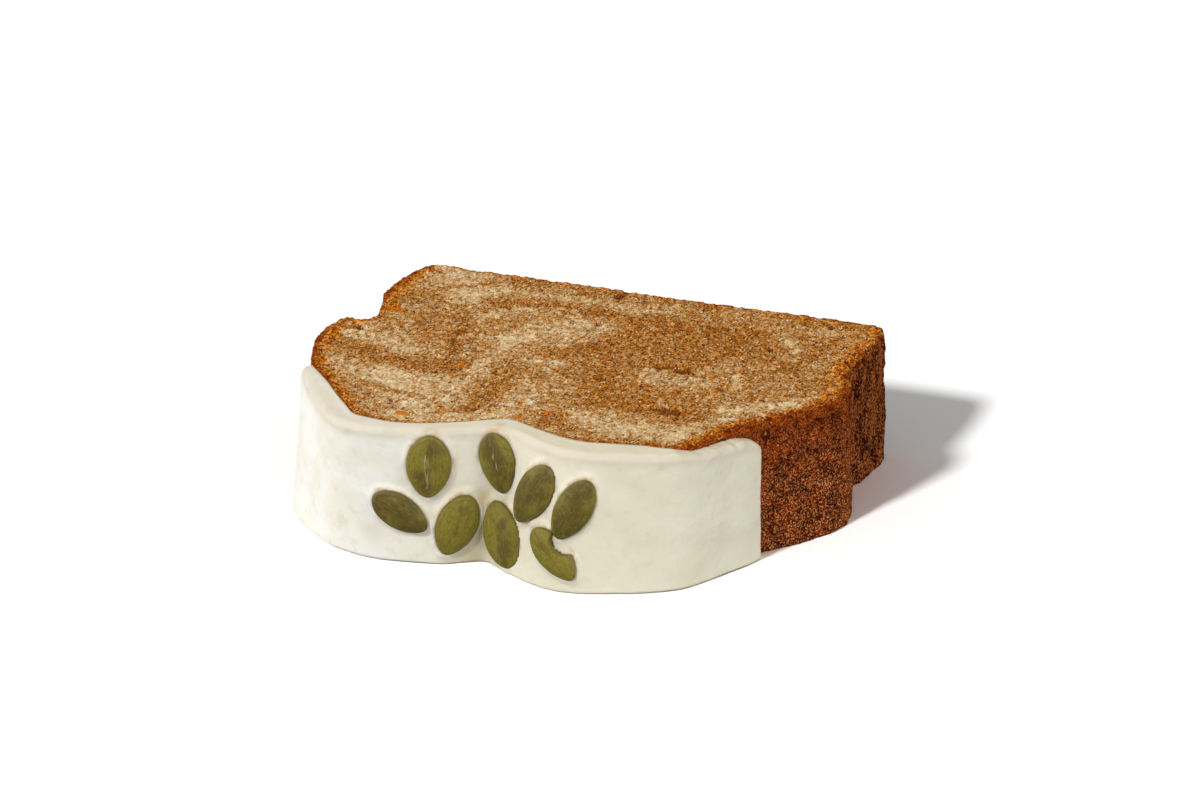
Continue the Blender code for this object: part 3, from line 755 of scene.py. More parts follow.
def make_loaf(material):
    """The slice of loaf. Its crust is lofted, and its cuts are cells that sink at the pores and holes."""
    bm = loft(crust_rings(stations(CRUST_STEP)))
    upper = [face for face in bm.faces if face.normal.z > 0.99]
    lower = [face for face in bm.faces if face.normal.z < -0.99]
    upper = cut_into_cells(bm, upper, CUT_CELL)
    lower = cut_into_cells(bm, lower, UNDER_CELL)
    bm.verts.index_update()
    upper_verts = corners_of(upper)
    lower_verts = corners_of(lower)
    mesh = mesh_from(bm, "loaf_slice")
    places = read_places(mesh)
    top = places[upper_verts]
    under = places[lower_verts]
    rim, row = rim_distances(top)
    rim_under, row_under = rim_distances(under)
    holes = hole_depths(top)
    rim_drop = np.where(row < ICED_END, RIM_DROP_ICED, RIM_DROP)
    relief, open_pores = crumb_relief(top, rim, rim_drop, holes, 0.0)
    relief_under, pores_under = crumb_relief(under, rim_under, RIM_DROP, np.zeros(len(under)), 50.0)
    raised_under = np.clip(-relief_under - 0.0001, 0, None)
    places[upper_verts, 2] += relief
    places[lower_verts, 2] += np.where(rim_under > 0.0004, raised_under, 0.0)

    marble = np.full(len(places), 0.5)
    crust = np.ones(len(places))
    pit_shade = np.zeros(len(places))
    shred = np.zeros(len(places))
    flake = np.zeros(len(places))
    marble[upper_verts] = marbling(top, 0.0)
    marble[lower_verts] = marbling(under, 5.0)
    crust[upper_verts] = rim_browning(top, rim, row)
    crust[lower_verts] = rim_browning(under, rim_under, row_under)
    # Painted shade in the holes and open pores, which also sink in the relief.
    pit_shade[upper_verts] = np.clip(holes / 0.0012, 0, 1) * 0.9 + open_pores * 0.65
    pit_shade[lower_verts] = pores_under * 0.5
    shred[upper_verts] = nearest_strokes(top, SHREDS)
    flake[upper_verts] = nearest_strokes(top, FLAKES)
    write_values(mesh, "batter", (np.clip(0.25 + 0.5 * marble, 0, 1), crust, shred, np.clip(pit_shade, 0, 1)))

    below_cut = np.clip((thickness_at(places[:, 0], places[:, 1]) - places[:, 2]) / GLOW_DEPTH, 0, 1)
    far_back = smooth_step((places[:, 1] - FAR_WALL_Y[0]) / FAR_WALL_Y[1])
    far_right = smooth_step((places[:, 0] - FAR_WALL_X[0]) / FAR_WALL_X[1])
    rise = np.clip(places[:, 2] / SLICE_THICKNESS, 0, 1)
    write_values(mesh, "crust_tone", (below_cut, far_back * far_right, rise, flake))
    places += np.array(CENTRING)
    mesh.vertices.foreach_set("co", places.ravel())
    mesh.update()
    return finish_piece("loaf_slice", mesh, material, "crumb", "bread_slice")


def drop_at(u):
    """How far the icing's top edge lies below the cut."""
    return float(np.interp(u, list(ICING_DROPS), list(ICING_DROPS.values())))


def icing_section(u, from_end):
    """The icing's outline, cut across at u: over the top, down the face, under the foot and back up."""
    cut = curve_point(BREAD_CUT, u, closed=True)
    floor = curve_point(BREAD_FLOOR, u, closed=True)
    rise = thickness_at(cut.x, cut.y)
    inner_cut = cut + outward_at(BREAD_CUT, u) * CONTACT_GAP
    inner_floor = floor + outward_at(BREAD_FLOOR, u) * CONTACT_GAP
    round_off = math.sqrt(1 - (1 - min(from_end / ICING_END_ROUND, 1)) ** 2)
    share = ICING_END_THICKNESS + (1 - ICING_END_THICKNESS) * round_off
    outer_cut = inner_cut.lerp(curve_point(ICING_CUT, u, closed=False), share)
    outer_floor = inner_floor.lerp(curve_point(ICING_FLOOR, u, closed=False), share)
    thick = (outer_cut - inner_cut).length
    top_round = min(ICING_TOP_ROUND, thick * 0.4)
    foot_round = min(ICING_FOOT_ROUND, thick * 0.6)
    lifted = float(smooth_step(1 - abs(u - ICING_LIFT_ROW) / ICING_LIFT_ROWS))
    foot = ICING_FOOT_HEIGHT + ICING_FOOT_LIFT * lifted
    torn = float(smooth_step(u - TORN_FROM))
    ragged = TORN_RAGGED * noise.noise(Vector((u * 3.1, 0, 7)))
    ragged += TORN_RAGGED_FINE * noise.noise(Vector((u * 9.0, 0, 9)))
    top = rise - drop_at(u) + ragged * torn

    def place(out, z):
        inner = inner_floor.lerp(inner_cut, z / rise)
        outer = outer_floor.lerp(outer_cut, z / rise)
        flat = inner.lerp(outer, out / thick)
        tilt = (thickness_at(flat.x, flat.y) - rise) * z / rise
        return Vector((flat.x, flat.y, z + tilt))

    quarter = [math.pi / 2 * step / ICING_ROUND_STEPS for step in range(ICING_ROUND_STEPS + 1)]
    band = [place((thick - top_round) * step / ICING_BAND_STEPS, top) for step in range(ICING_BAND_STEPS)]
    over = [
        place(thick - top_round * (1 - math.sin(a)), top - top_round * (1 - math.cos(a)))
        for a in quarter
    ]
    under = [
        place(thick - foot_round * (1 - math.cos(a)), foot + foot_round * (1 - math.sin(a)))
        for a in quarter
    ]
    wall_top = top - top_round
    wall_foot = foot + foot_round
    wall = [
        place(thick, wall_top + (wall_foot - wall_top) * ring / ICING_WALL_RINGS)
        for ring in range(1, ICING_WALL_RINGS)
    ]
    back = [place(0, foot + (top - foot) * ring / ICING_INNER_RINGS) for ring in range(ICING_INNER_RINGS)]
    return band + over + wall + under + back


def icing_face(x, z):
    """The point of the icing's outer face at this place along X and this height."""
    steps = 20
    last = None
    for step in range(ICED_END * steps + 1):
        u = step / steps
        cut = curve_point(ICING_CUT, u, closed=False)
        here = curve_point(ICING_FLOOR, u, closed=False).lerp(cut, z / thickness_at(cut.x, cut.y))
        if last and last.x <= x <= here.x:
            here = between(last, here, last.x, here.x, x)
            return Vector((here.x, here.y, z))
        last = here
    raise ValueError("the icing does not reach that far along X")


def seed_frame(seed):
    """Where a seed lies. The columns are across it, out of the icing and along it, then its middle."""
    x = seed.x
    z = seed.z
    left, middle, right = (icing_face(x + step, z) for step in (-SEED_REACH, 0, SEED_REACH))
    across = (right - left).normalized()
    up = (icing_face(x, z + SEED_REACH) - icing_face(x, z - SEED_REACH)).normalized()
    outward = across.cross(up).normalized()
    up = outward.cross(across)
    centre = (left + middle * 2 + right) / 4 + outward * SEED_OUT
    turned = Matrix.Rotation(math.radians(seed.turn), 3, up)
    outward = turned @ outward
    lean = math.radians(seed.lean)
    along = turned @ (up * math.cos(lean) + across * math.sin(lean))
    side = along.cross(outward)
    placed = Matrix((side, outward, along)).transposed().to_4x4()
    placed.translation = centre + CENTRING
    return placed


def seed_taper(along, taper):
    """How wide a seed is at a place along it, from -1 to 1, against its middle."""
    return 1 - taper * along - SEED_ROUNDED_ENDS * along * along


def in_seed(places, seed):
    """Places seen from a seed: across it, out of the icing and along it in metres, and 1 at its outline."""
    back = np.array(seed_frame(seed).inverted())
    local = places @ back[:3, :3].T + back[:3, 3]
    along = local[:, 2] / (seed.length / 2)
    half_width = seed_taper(np.clip(along, -1.2, 1.2), seed.taper) * SEED_FULLNESS * seed.width / 2
    return local, np.sqrt((local[:, 0] / half_width) ** 2 + along ** 2)


def surface_normals(grid):
    """Directions out of a lofted surface, from its rows of places."""
    along = np.gradient(grid, axis=0)
    round_it = np.gradient(grid, axis=1)
    normals = np.cross(along, round_it)
    return normals / np.maximum(np.linalg.norm(normals, axis=2, keepdims=True), 1e-12)


def sway_end(grid, from_right):
    """The icing's places with its right end swaying along its face."""
    onward = (grid[-1] - grid[-4]) / np.linalg.norm(grid[-1] - grid[-4], axis=1, keepdims=True)
    heights = grid[-1, :, 2]
    sway = np.array([noise.noise(Vector((0, 3, height / END_WAVE_BROAD))) for height in heights])
    sway += 0.5 * np.array([noise.noise(Vector((0, 5, height / END_WAVE_FINE))) for height in heights])
    pull = END_WAVE * hump(from_right, 0.0, END_WAVE_REACH)
    return grid + pull[:, None, None] * (sway[:, None] * onward)[None]


def uneven_icing(grid, columns, outer):
    """The icing's places with its torn edge crumpled and its face in low waves."""
    shape = grid.shape[:2]
    places = grid.reshape(-1, 3)
    torn = smooth_step(np.array(columns) - TORN_FROM)
    torn = np.outer(torn, np.arange(shape[1]) < ICING_BAND_STEPS + ICING_ROUND_STEPS)
    crumples = torn * layered_noise(places, TORN_CRUMPLES).reshape(shape)
    waves = outer * layered_noise(places, ICING_WAVES).reshape(shape)
    normals = surface_normals(grid)
    return grid + crumples[:, :, None] * np.array(CRUMPLE_LEAN) + normals * waves[:, :, None]


def press_in_seeds(places, outer):
    """The icing's places with a socket and a welt at each seed, and how stained each place is."""
    stained = np.zeros(len(places))
    for name, seed in SEEDS.items():
        local, ring = in_seed(places, seed)
        height = local[:, 1].copy()
        near = (np.abs(height) < SEED_NEAR) & (ring < SEED_NEAR_RING) & (outer > 0.5)
        inside = ring < 1.0
        welt = seed.welt * hump(ring, *WELT_RING) * (1 + 0.5 * noise_at(places, 0.002, 8.0))
        if name == BITTEN_SEED:
            from_bite = np.hypot(local[:, 0] - BITE_PLACE[0], local[:, 2] - BITE_PLACE[1])
            inside &= from_bite > BITE_RADIUS
            welt = np.where(from_bite < BITE_RADIUS * BITE_CLEAR, 0.0, welt)
        socket = -np.sqrt(np.clip(1 - ring ** 2, 0, 1)) * SEED_THICKNESS / 2 - SOCKET_GAP
        highest = np.where(inside, socket, np.maximum(height, 0.0))
        moved = np.where(near, np.minimum(height + welt, highest) - height, 0.0)
        outward = np.array(seed_frame(seed).to_3x3().col[1])
        places = places + moved[:, None] * outward
        above = np.clip(0.5 + (places[:, 2] - seed.z) / seed.length, 0, 1)
        stain = hump(ring, *STAIN_RING) * (0.3 + 0.7 * above)
        stained = np.maximum(stained, np.where(near, stain, 0.0))
    return places, stained


def icing_tones(places, stained, rings):
    """How much painted shade at the edge, stain, painted shade on the cut and other painted shade each
    place has.
    """
    ring = np.tile(np.arange(rings), len(places) // rings)
    from_edge = ring - ICING_BAND_STEPS - ICING_ROUND_STEPS / 2
    edge = hump(from_edge, 0.0, np.where(from_edge > 0, EDGE_SHADE_FACE, EDGE_SHADE_BAND))
    edge = np.where(ring < rings - ICING_INNER_RINGS, edge, 0.0)
    band = smooth_step((ICING_BAND_STEPS + ICING_ROUND_STEPS - ring) / ICING_ROUND_STEPS)
    shade = np.zeros(len(places))
    for x, z, reach, most in ICING_SHADES:
        far = np.hypot(places[:, 0] - x, places[:, 2] - z)
        shade = np.maximum(shade, most * hump(far, 0.0, reach) * (places[:, 1] < ICING_FRONT))
    return edge, stained, band, shade


def make_icing(material):
    """The icing, lofted from its left end to its right through its sections, with the seeds pressed in."""
    columns = [u for u in stations(ICING_STEP) if u < ICED_END] + [ICED_END]
    face = [curve_point(ICING_CUT, u, closed=False) for u in columns]
    travelled = [0.0]
    for first, second in zip(face, face[1:]):
        travelled.append(travelled[-1] + (second - first).length)
    length = travelled[-1]
    sections = [icing_section(u, min(far, length - far)) for u, far in zip(columns, travelled)]
    grid = sway_end(np.array(sections), length - np.array(travelled))
    rings = grid.shape[1]
    outer = np.ones(rings)
    outer[:3] = (0.0, 0.3, 0.7)
    outer[-ICING_INNER_RINGS:] = 0.0
    grid = uneven_icing(grid, columns, outer)
    places = grid.reshape(-1, 3) + np.array(CENTRING)
    places, stained = press_in_seeds(places, np.tile(outer, len(columns)))
    bm = loft([[Vector(place) for place in line] for line in places.reshape(grid.shape)])
    mesh = mesh_from(bm, "cream_icing")
    write_values(mesh, "icing_tone", icing_tones(places, stained, rings))
    return finish_piece("cream_icing", mesh, material, "icing", "icing")


def make_seed(name, material):
    """A hulled seed: a flattened ball with a raised rim, a groove inside that and a hollow middle."""
    seed = SEEDS[name]
    bm = bmesh.new()
    bmesh.ops.create_uvsphere(bm, u_segments=SEED_SEGMENTS, v_segments=SEED_RINGS, radius=1.0)
    half_segment = Matrix.Rotation(math.pi / SEED_SEGMENTS, 3, "Z")
    bmesh.ops.rotate(bm, cent=(0, 0, 0), matrix=half_segment, verts=bm.verts)
    place_layer = bm.verts.layers.float_color.new("seed_place")
    tone_layer = bm.verts.layers.float_color.new("seed_tone")
    tone = 0.5 + SEED_TONES[name] / 2
    shift = Vector((seed.x, seed.z, seed.lean)) * 50
    for vert in bm.verts:
        across, out, along = vert.co
        ring = min(math.sqrt(across * across + along * along), 1.0)
        meridian = across / max(math.sqrt(1 - min(along * along, 1)), 0.01)
        flat = across * seed_taper(along, seed.taper)
        scuffed = 0.0
        for half_width, points in SCUFFS.get(name, []):
            far = float(stroke_distance(np.array([[across, along]]), points)[0])
            scuffed = max(scuffed, 1 - far / half_width)
        vert[place_layer] = (meridian * 0.5 + 0.5, along * 0.5 + 0.5, ring, scuffed)
        vert[tone_layer] = (tone, tone, tone, 1.0)
        thick = math.copysign(abs(out) ** SEED_FLATNESS, out)
        thick *= 1 + SEED_RIM[0] * hump(ring, *SEED_RIM[1:])
        groove = SEED_GROOVE[0] * hump(ring, *SEED_GROOVE[1:])
        hollow = SEED_HOLLOW[0] * hump(flat, *SEED_HOLLOW[1:])
        thick *= 1 + groove + hollow
        wobble = 1 + SEED_WOBBLE * noise.noise(Vector((along * 2.2, math.copysign(1, across), 0)) + shift)
        wave = SEED_WAVE * noise.noise(Vector((flat * 3, along * 2, out)) + shift)
        vert.co = Vector((
            flat * SEED_FULLNESS * seed.width / 2 * wobble,
            thick * SEED_THICKNESS / 2 + wave,
            along * seed.length / 2,
        ))
    if name == BITTEN_SEED:
        break_off(bm)
    bmesh.ops.transform(bm, matrix=seed_frame(seed), verts=bm.verts)
    bmesh.ops.recalc_face_normals(bm, faces=bm.faces)
    mesh = mesh_from(bm, name + "_hulled")
    return finish_piece(name + "_hulled", mesh, material, "pumpkin_seed", name)


def break_off(bm):
    """Pushes a seed's side in to a ragged round break."""
    across_there, along_there = BITE_PLACE
    for vert in bm.verts:
        along = vert.co.z - along_there
        ragged = BITE_RADIUS * (1 + 0.10 * noise.noise(Vector((along * 1500, vert.co.y * 900, 3))))
        if abs(along) < ragged:
            reach = math.sqrt(ragged * ragged - along * along)
            vert.co.x = max(vert.co.x, across_there + reach)


def node(tree, kind, inputs=None, **settings):
    """Adds a node. Each input is given a value, or the socket that feeds it."""
    made = tree.nodes.new(kind)
    for key, value in settings.items():
        setattr(made, key, value)
    for key, value in (inputs or {}).items():
        socket = made.inputs[key]
        if isinstance(value, bpy.types.NodeSocket):
            tree.links.new(value, socket)
        else:
            socket.default_value = value
    return made


def mix(tree, factor, first, second, blend="MIX"):
    """The first colour where the factor is 0 and the second, blended in, where it is 1."""
    made = node(tree, "ShaderNodeMix", {0: factor, 6: first, 7: second}, data_type="RGBA", blend_type=blend)
    return made.outputs[2]


def maths(tree, operation, first, second=0.0):
    made = node(tree, "ShaderNodeMath", {0: first, 1: second}, operation=operation)
    return made.outputs[0]


def times(tree, first, second):
    return maths(tree, "MULTIPLY", first, second)


def vector_maths(tree, operation, inputs):
    return node(tree, "ShaderNodeVectorMath", inputs, operation=operation).outputs[0]


def step_mask(tree, value, low, high):
    """0 where the value is at low and 1 at high, eased in between. low may be over high."""
    made = node(
        tree,
        "ShaderNodeMapRange",
        {"Value": value, "From Min": low, "From Max": high},
        interpolation_type="SMOOTHSTEP",
    )
    return made.outputs["Result"]


def share(tree, value, low, high, most):
    """A mask like step_mask that goes up to most."""
    return times(tree, step_mask(tree, value, low, high), most)


def swing(tree, value, by, much):
    """The value, raised where by is over a half and lowered where it is under, if much is positive."""
    return maths(tree, "ADD", value, times(tree, maths(tree, "SUBTRACT", by, 0.5), much))


def drawn_out(tree, place, along_y, along_z):
    """Coordinates that draw a pattern out this many times along Y and along Z."""
    scale = (1.0, 1 / along_y, 1 / along_z)
    return node(tree, "ShaderNodeMapping", {"Vector": place, "Scale": scale}).outputs["Vector"]


def noise_mask(tree, place, size, detail=2.0, roughness=0.5):
    """Noise about a half, with blobs of this size."""
    made = node(
        tree,
        "ShaderNodeTexNoise",
        {"Vector": place, "Scale": 1 / size, "Detail": detail, "Roughness": roughness},
    )
    return made.outputs["Fac"]


def rgb(red, green, blue):
    """A linear colour from the red, green and blue that a picture shows, each from 0 to 255."""
    linear = [((value / 255 + 0.055) / 1.055) ** 2.4 for value in (red, green, blue)]
    return (*linear, 1.0)


def specks_group():
    """Scattered round specks: pores and glints in the crumb, and faint spots in the icing."""
    group = bpy.data.node_groups.new("specks", "ShaderNodeTree")
    group.interface.new_socket("Vector", in_out="INPUT", socket_type="NodeSocketVector")
    group.interface.new_socket("Size", in_out="INPUT", socket_type="NodeSocketFloat")
    group.interface.new_socket("Share", in_out="INPUT", socket_type="NodeSocketFloat")
    group.interface.new_socket("Specks", in_out="OUTPUT", socket_type="NodeSocketFloat")
    given = group.nodes.new("NodeGroupInput").outputs
    out = group.nodes.new("NodeGroupOutput")
    scale = maths(group, "DIVIDE", 1.0, given["Size"])
    cells = node(group, "ShaderNodeTexVoronoi", {"Vector": given["Vector"], "Scale": scale})
    chance = node(group, "ShaderNodeSeparateColor", {"Color": cells.outputs["Color"]})
    open_cell = maths(group, "LESS_THAN", chance.outputs["Red"], given["Share"])
    round_speck = step_mask(group, cells.outputs["Distance"], 0.32, 0.20)
    group.links.new(times(group, open_cell, round_speck), out.inputs["Specks"])
    return group


def specks(tree, group, place, size, share_open):
    """1 in round specks that lie about this far apart, in this share of the places for one."""
    made = node(tree, "ShaderNodeGroup", node_tree=group)
    tree.links.new(place, made.inputs["Vector"])
    made.inputs["Size"].default_value = size
    made.inputs["Share"].default_value = share_open
    return made.outputs["Specks"]


def clumps(tree, place, size):
    """Uneven clumps: a value that is one tone all over each, and how far from its middle a point is."""
    noisy = node(tree, "ShaderNodeTexNoise", {"Vector": place, "Scale": 1 / size, "Detail": 2.0})
    sway = vector_maths(tree, "SUBTRACT", {0: noisy.outputs["Color"], 1: (0.5, 0.5, 0.5)})
    sway = vector_maths(tree, "SCALE", {0: sway, "Scale": size * 0.8})
    moved = vector_maths(tree, "ADD", {0: place, 1: sway})
    cells = node(tree, "ShaderNodeTexVoronoi", {"Vector": moved, "Scale": 1 / size})
    tone = node(tree, "ShaderNodeSeparateColor", {"Color": cells.outputs["Color"]})
    return tone.outputs["Red"], cells.outputs["Distance"]


def new_material(name):
    """A material with its node tree, its shader and the coordinates of the places on the object."""
    material = bpy.data.materials.new(name)
    material.use_nodes = True
    tree = material.node_tree
    place = node(tree, "ShaderNodeTexCoord").outputs["Object"]
    return material, tree, tree.nodes["Principled BSDF"], place


def channels(tree, name):
    """The four channels of a mesh's colour attribute."""
    values = node(tree, "ShaderNodeAttribute", attribute_name=name)
    split = node(tree, "ShaderNodeSeparateColor", {"Color": values.outputs["Color"]})
    return (*split.outputs[:3], values.outputs["Alpha"])


# Colours of the crumb: the batter from pale to dark and what tints it, then its grains in pale and in dark
# batter as painted highlight where lit and painted shade where deep, its clumps, the painted shade in its
# pits and pores, its shreds and flakes, and the glints, painted highlights, on crumb and on crust.
PALE_BATTER = rgb(222, 197, 148)
TAN_BATTER = rgb(188, 136, 68)
DARK_BATTER = rgb(140, 78, 16)
WARM_TINT = (1.0, 0.72, 0.28, 1.0)
COOL_BATTER = rgb(216, 192, 152)
GOLDEN_BATTER = rgb(198, 124, 28)
LIT_PALE = rgb(242, 218, 170)
LIT_DARK = rgb(220, 166, 96)
SHADED_PALE = rgb(172, 120, 54)
SHADED_DARK = rgb(80, 32, 0)
AMBER_CLUMP = rgb(176, 98, 12)
PIT_SHADE = rgb(150, 80, 16)
PORE_SHADE = rgb(104, 50, 8)
PUMPKIN_SHRED = rgb(208, 112, 8)
WHITE_FLAKE = rgb(238, 224, 196)
CRUMB_GLINT = rgb(252, 238, 212)
CRUST_GLINT = rgb(214, 150, 106)

# Colours of the crust: its two browns, painted shade for its crevices, warm blotches, pale speckles that
# are painted glints, pits and the glow along its upper edge, then the far wall: painted shade and a tint of
# it that darken and redden it, specks, pits, and dark streaks and light ones of painted sheen.
SKIN_DARK = rgb(62, 13, 0)
SKIN_RED = rgb(162, 71, 20)
SKIN_CREVICE_SHADE = rgb(46, 14, 2)
SKIN_WARM = rgb(134, 74, 40)
SKIN_GLINT = rgb(218, 150, 94)
SKIN_PIT = rgb(44, 5, 0)
EDGE_GLOW = rgb(188, 90, 10)
FAR_WALL_SHADE = rgb(60, 14, 1)
FAR_WALL_SHADE_TINT = (0.92, 0.60, 0.28, 1.0)
WALL_SPECKLE = rgb(200, 118, 60)
WALL_PIT = rgb(56, 3, 0)
STREAK_DARK = rgb(26, 2, 0)
STREAK_SHEEN = rgb(150, 84, 40)

# Colours of the toasted rim between crumb and crust, with a painted highlight on lit clumps and painted
# shade in crevices.
TOAST_DARK = rgb(134, 46, 0)
TOAST_GOLD = rgb(224, 128, 20)
TOAST_LIT = rgb(246, 186, 100)
TOAST_CREVICE_SHADE = rgb(98, 28, 0)
TOAST_GRAIN = rgb(234, 170, 80)
TOAST_PIT = rgb(84, 22, 0)

# Colours of the icing: clean and clouded, each at the left and, darker and creamier by painted shade, at
# the
# right, then what tints it: painted shade in patches, mottles, painted shade on the cut band and along the
# upper edge, spots at that edge, the stain round the seeds and specks.
CLEAN_LEFT = rgb(251, 248, 240)
CLEAN_RIGHT_SHADED = rgb(235, 229, 207)
CLOUDED_LEFT = rgb(242, 236, 218)
CLOUDED_RIGHT_SHADED = rgb(228, 221, 196)
ICING_SHADE = rgb(204, 192, 152)
ICING_MOTTLE = rgb(222, 212, 182)
ICING_BAND_SHADE = rgb(223, 210, 178)
ICING_EDGE_SHADE = rgb(211, 203, 183)
ICING_EDGE_SPOT = rgb(206, 180, 124)
SEED_STAIN = rgb(196, 152, 86)
ICING_SPECK = rgb(214, 184, 122)

# Where the icing turns from its left colours to its right ones, which hold painted shade, along X.
ICING_TURNS = (-0.034, 0.004)

# Colours of the seeds: along the middle and towards the rim, then their lines, specks, outline and scuffs.
SEED_DARK = rgb(92, 78, 25)
SEED_LIGHT = rgb(131, 119, 37)
BROAD_LINE_LIT = rgb(134, 124, 44)
BROAD_LINE_DARK = rgb(76, 62, 20)
FINE_LINE_LIT = rgb(148, 138, 76)
FINE_LINE_DARK = rgb(64, 54, 18)
SEED_SPECK_DARK = rgb(78, 66, 26)
SEED_SPECK_LIT = rgb(146, 132, 80)
SEED_OUTLINE = rgb(112, 88, 44)
SEED_SCUFF = rgb(196, 188, 150)


def loaf_patterns(tree, group, place):
    """The patterns that make up the crumb and the crust."""
    risen = drawn_out(tree, place, 1.6, 1.0)
    tone, crevice = clumps(tree, risen, 0.00078)
    return SimpleNamespace(
        grains=noise_mask(tree, risen, 0.00034, 1.0, 0.5),
        sand=noise_mask(tree, risen, 0.00065, 2.0, 0.6),
        grit=noise_mask(tree, risen, 0.0013, 3.0, 0.6),
        patch=noise_mask(tree, place, 0.0034, 3.0, 0.6),
        warm=noise_mask(tree, place, 0.0012, 3.0, 0.6),
        cool=noise_mask(tree, place, 0.0010, 3.0, 0.6),
        skin_grain=noise_mask(tree, place, 0.00034, 1.0, 0.5),
        wall_grain=noise_mask(tree, drawn_out(tree, place, 1.1, 1.5), 0.00034, 1.0, 0.5),
        streaks=noise_mask(tree, drawn_out(tree, place, 2.2, 7.0), 0.0007, 2.0, 0.6),
        small_pores=specks(tree, group, place, 0.0013, 0.20),
        glints=specks(tree, group, place, 0.00065, 0.09),
        tone=tone,
        crevice=crevice,
    )


def crumb_colour(tree, seen, marble, pit_shade, shred, flake):
    """Sandy marbled crumb: warm and cool patches, painted highlight and shade on grains and pits, shreds
    and flakes.
    """
    brown = swing(tree, swing(tree, swing(tree, marble, seen.patch, 0.2), seen.grit, 0.65), seen.sand, 0.6)
    crumb = mix(tree, step_mask(tree, brown, 0.12, 0.42), PALE_BATTER, TAN_BATTER)
    crumb = mix(tree, step_mask(tree, brown, 0.42, 0.85), crumb, DARK_BATTER)
    warmed = share(tree, swing(tree, seen.warm, marble, 0.3), 0.49, 0.58, 0.95)
    crumb = mix(tree, warmed, crumb, WARM_TINT, "MULTIPLY")
    cooled = share(tree, swing(tree, seen.cool, marble, -0.3), 0.51, 0.60, 0.75)
    crumb = mix(tree, cooled, crumb, COOL_BATTER)
    crumb = mix(tree, share(tree, seen.warm, 0.56, 0.66, 0.7), crumb, GOLDEN_BATTER)
    # Painted shade in the pits.
    crumb = mix(tree, share(tree, pit_shade, 0.05, 0.45, 0.7), crumb, PIT_SHADE)
    # Painted highlight on lit clumps and grains.
    lit_grain = mix(tree, step_mask(tree, brown, 0.25, 0.65), LIT_PALE, LIT_DARK)
    shaded_grain = mix(tree, step_mask(tree, brown, 0.15, 0.55), SHADED_PALE, SHADED_DARK)
    crumb = mix(tree, share(tree, seen.tone, 0.55, 0.85, 0.45), crumb, lit_grain)
    crumb = mix(tree, share(tree, seen.tone, 0.34, 0.10, 0.6), crumb, AMBER_CLUMP)
    crumb = mix(tree, share(tree, seen.grains, 0.52, 0.66, 0.5), crumb, lit_grain)
    shredded = share(tree, swing(tree, shred, seen.sand, 0.7), 0.14, 0.36, 0.9)
    crumb = mix(tree, shredded, crumb, PUMPKIN_SHRED)
    # Painted shade in the crevices between clumps.
    crumb = mix(tree, share(tree, seen.crevice, 0.50, 0.80, 0.4), crumb, shaded_grain)
    flaked = share(tree, swing(tree, flake, seen.sand, 0.7), 0.14, 0.36, 0.7)
    crumb = mix(tree, flaked, crumb, WHITE_FLAKE)
    # Painted shade in small gaps between grains, deeper in dark batter.
    shade_strength = swing(tree, 0.75, step_mask(tree, brown, 0.10, 0.50), 0.6)
    deep = times(tree, step_mask(tree, seen.grains, 0.445, 0.35), shade_strength)
    return mix(tree, deep, crumb, shaded_grain)


def crust_colour(tree, seen, below, far_wall, rise):
    """Browned crust: blotched, glowing under the cut, painted glints and shade; far right darker and
    streaked.
    """
    blotch = swing(tree, swing(tree, seen.grit, seen.patch, 1.3), seen.sand, 0.35)
    skin = mix(tree, step_mask(tree, blotch, 0.30, 0.62), SKIN_DARK, SKIN_RED)
    # Painted shade in the crevices between clumps.
    skin = mix(tree, share(tree, seen.crevice, 0.45, 0.75, 0.3), skin, SKIN_CREVICE_SHADE)
    skin = mix(tree, share(tree, seen.warm, 0.50, 0.62, 0.5), skin, SKIN_WARM)
    # Painted shade darkens and reddens the far wall, which is turned from the main lamp.
    skin = mix(tree, share(tree, far_wall, 0.0, 1.0, 0.7), skin, FAR_WALL_SHADE)
    skin = mix(tree, far_wall, skin, FAR_WALL_SHADE_TINT, "MULTIPLY")
    glow = times(tree, step_mask(tree, below, 0.95, 0.05), step_mask(tree, seen.grit, 0.38, 0.54))
    skin = mix(tree, times(tree, glow, 0.6), skin, EDGE_GLOW)
    # Pale speckles, more towards the bottom, are painted glints.
    lower = swing(tree, step_mask(tree, rise, 1.15, 0.30), seen.patch, 1.4)
    speckled = times(tree, step_mask(tree, seen.skin_grain, 0.53, 0.65), lower)
    skin = mix(tree, times(tree, speckled, 0.85), skin, SKIN_GLINT)
    skin = mix(tree, share(tree, seen.skin_grain, 0.49, 0.38, 0.8), skin, SKIN_PIT)
    # Streaks up the far wall: the light ones are painted sheen.
    streak = mix(tree, step_mask(tree, seen.streaks, 0.44, 0.60), STREAK_DARK, STREAK_SHEEN)
    streaked = maths(tree, "SUBTRACT", step_mask(tree, seen.streaks, 0.42, 0.60), 0.5)
    streaked = times(tree, maths(tree, "ABSOLUTE", streaked), 1.8)
    skin = mix(tree, times(tree, far_wall, streaked), skin, streak)
    pitted = share(tree, seen.wall_grain, 0.50, 0.38, 0.85)
    skin = mix(tree, times(tree, far_wall, pitted), skin, WALL_PIT)
    speckled = share(tree, seen.wall_grain, 0.54, 0.66, 0.75)
    return mix(tree, times(tree, far_wall, speckled), skin, WALL_SPECKLE)


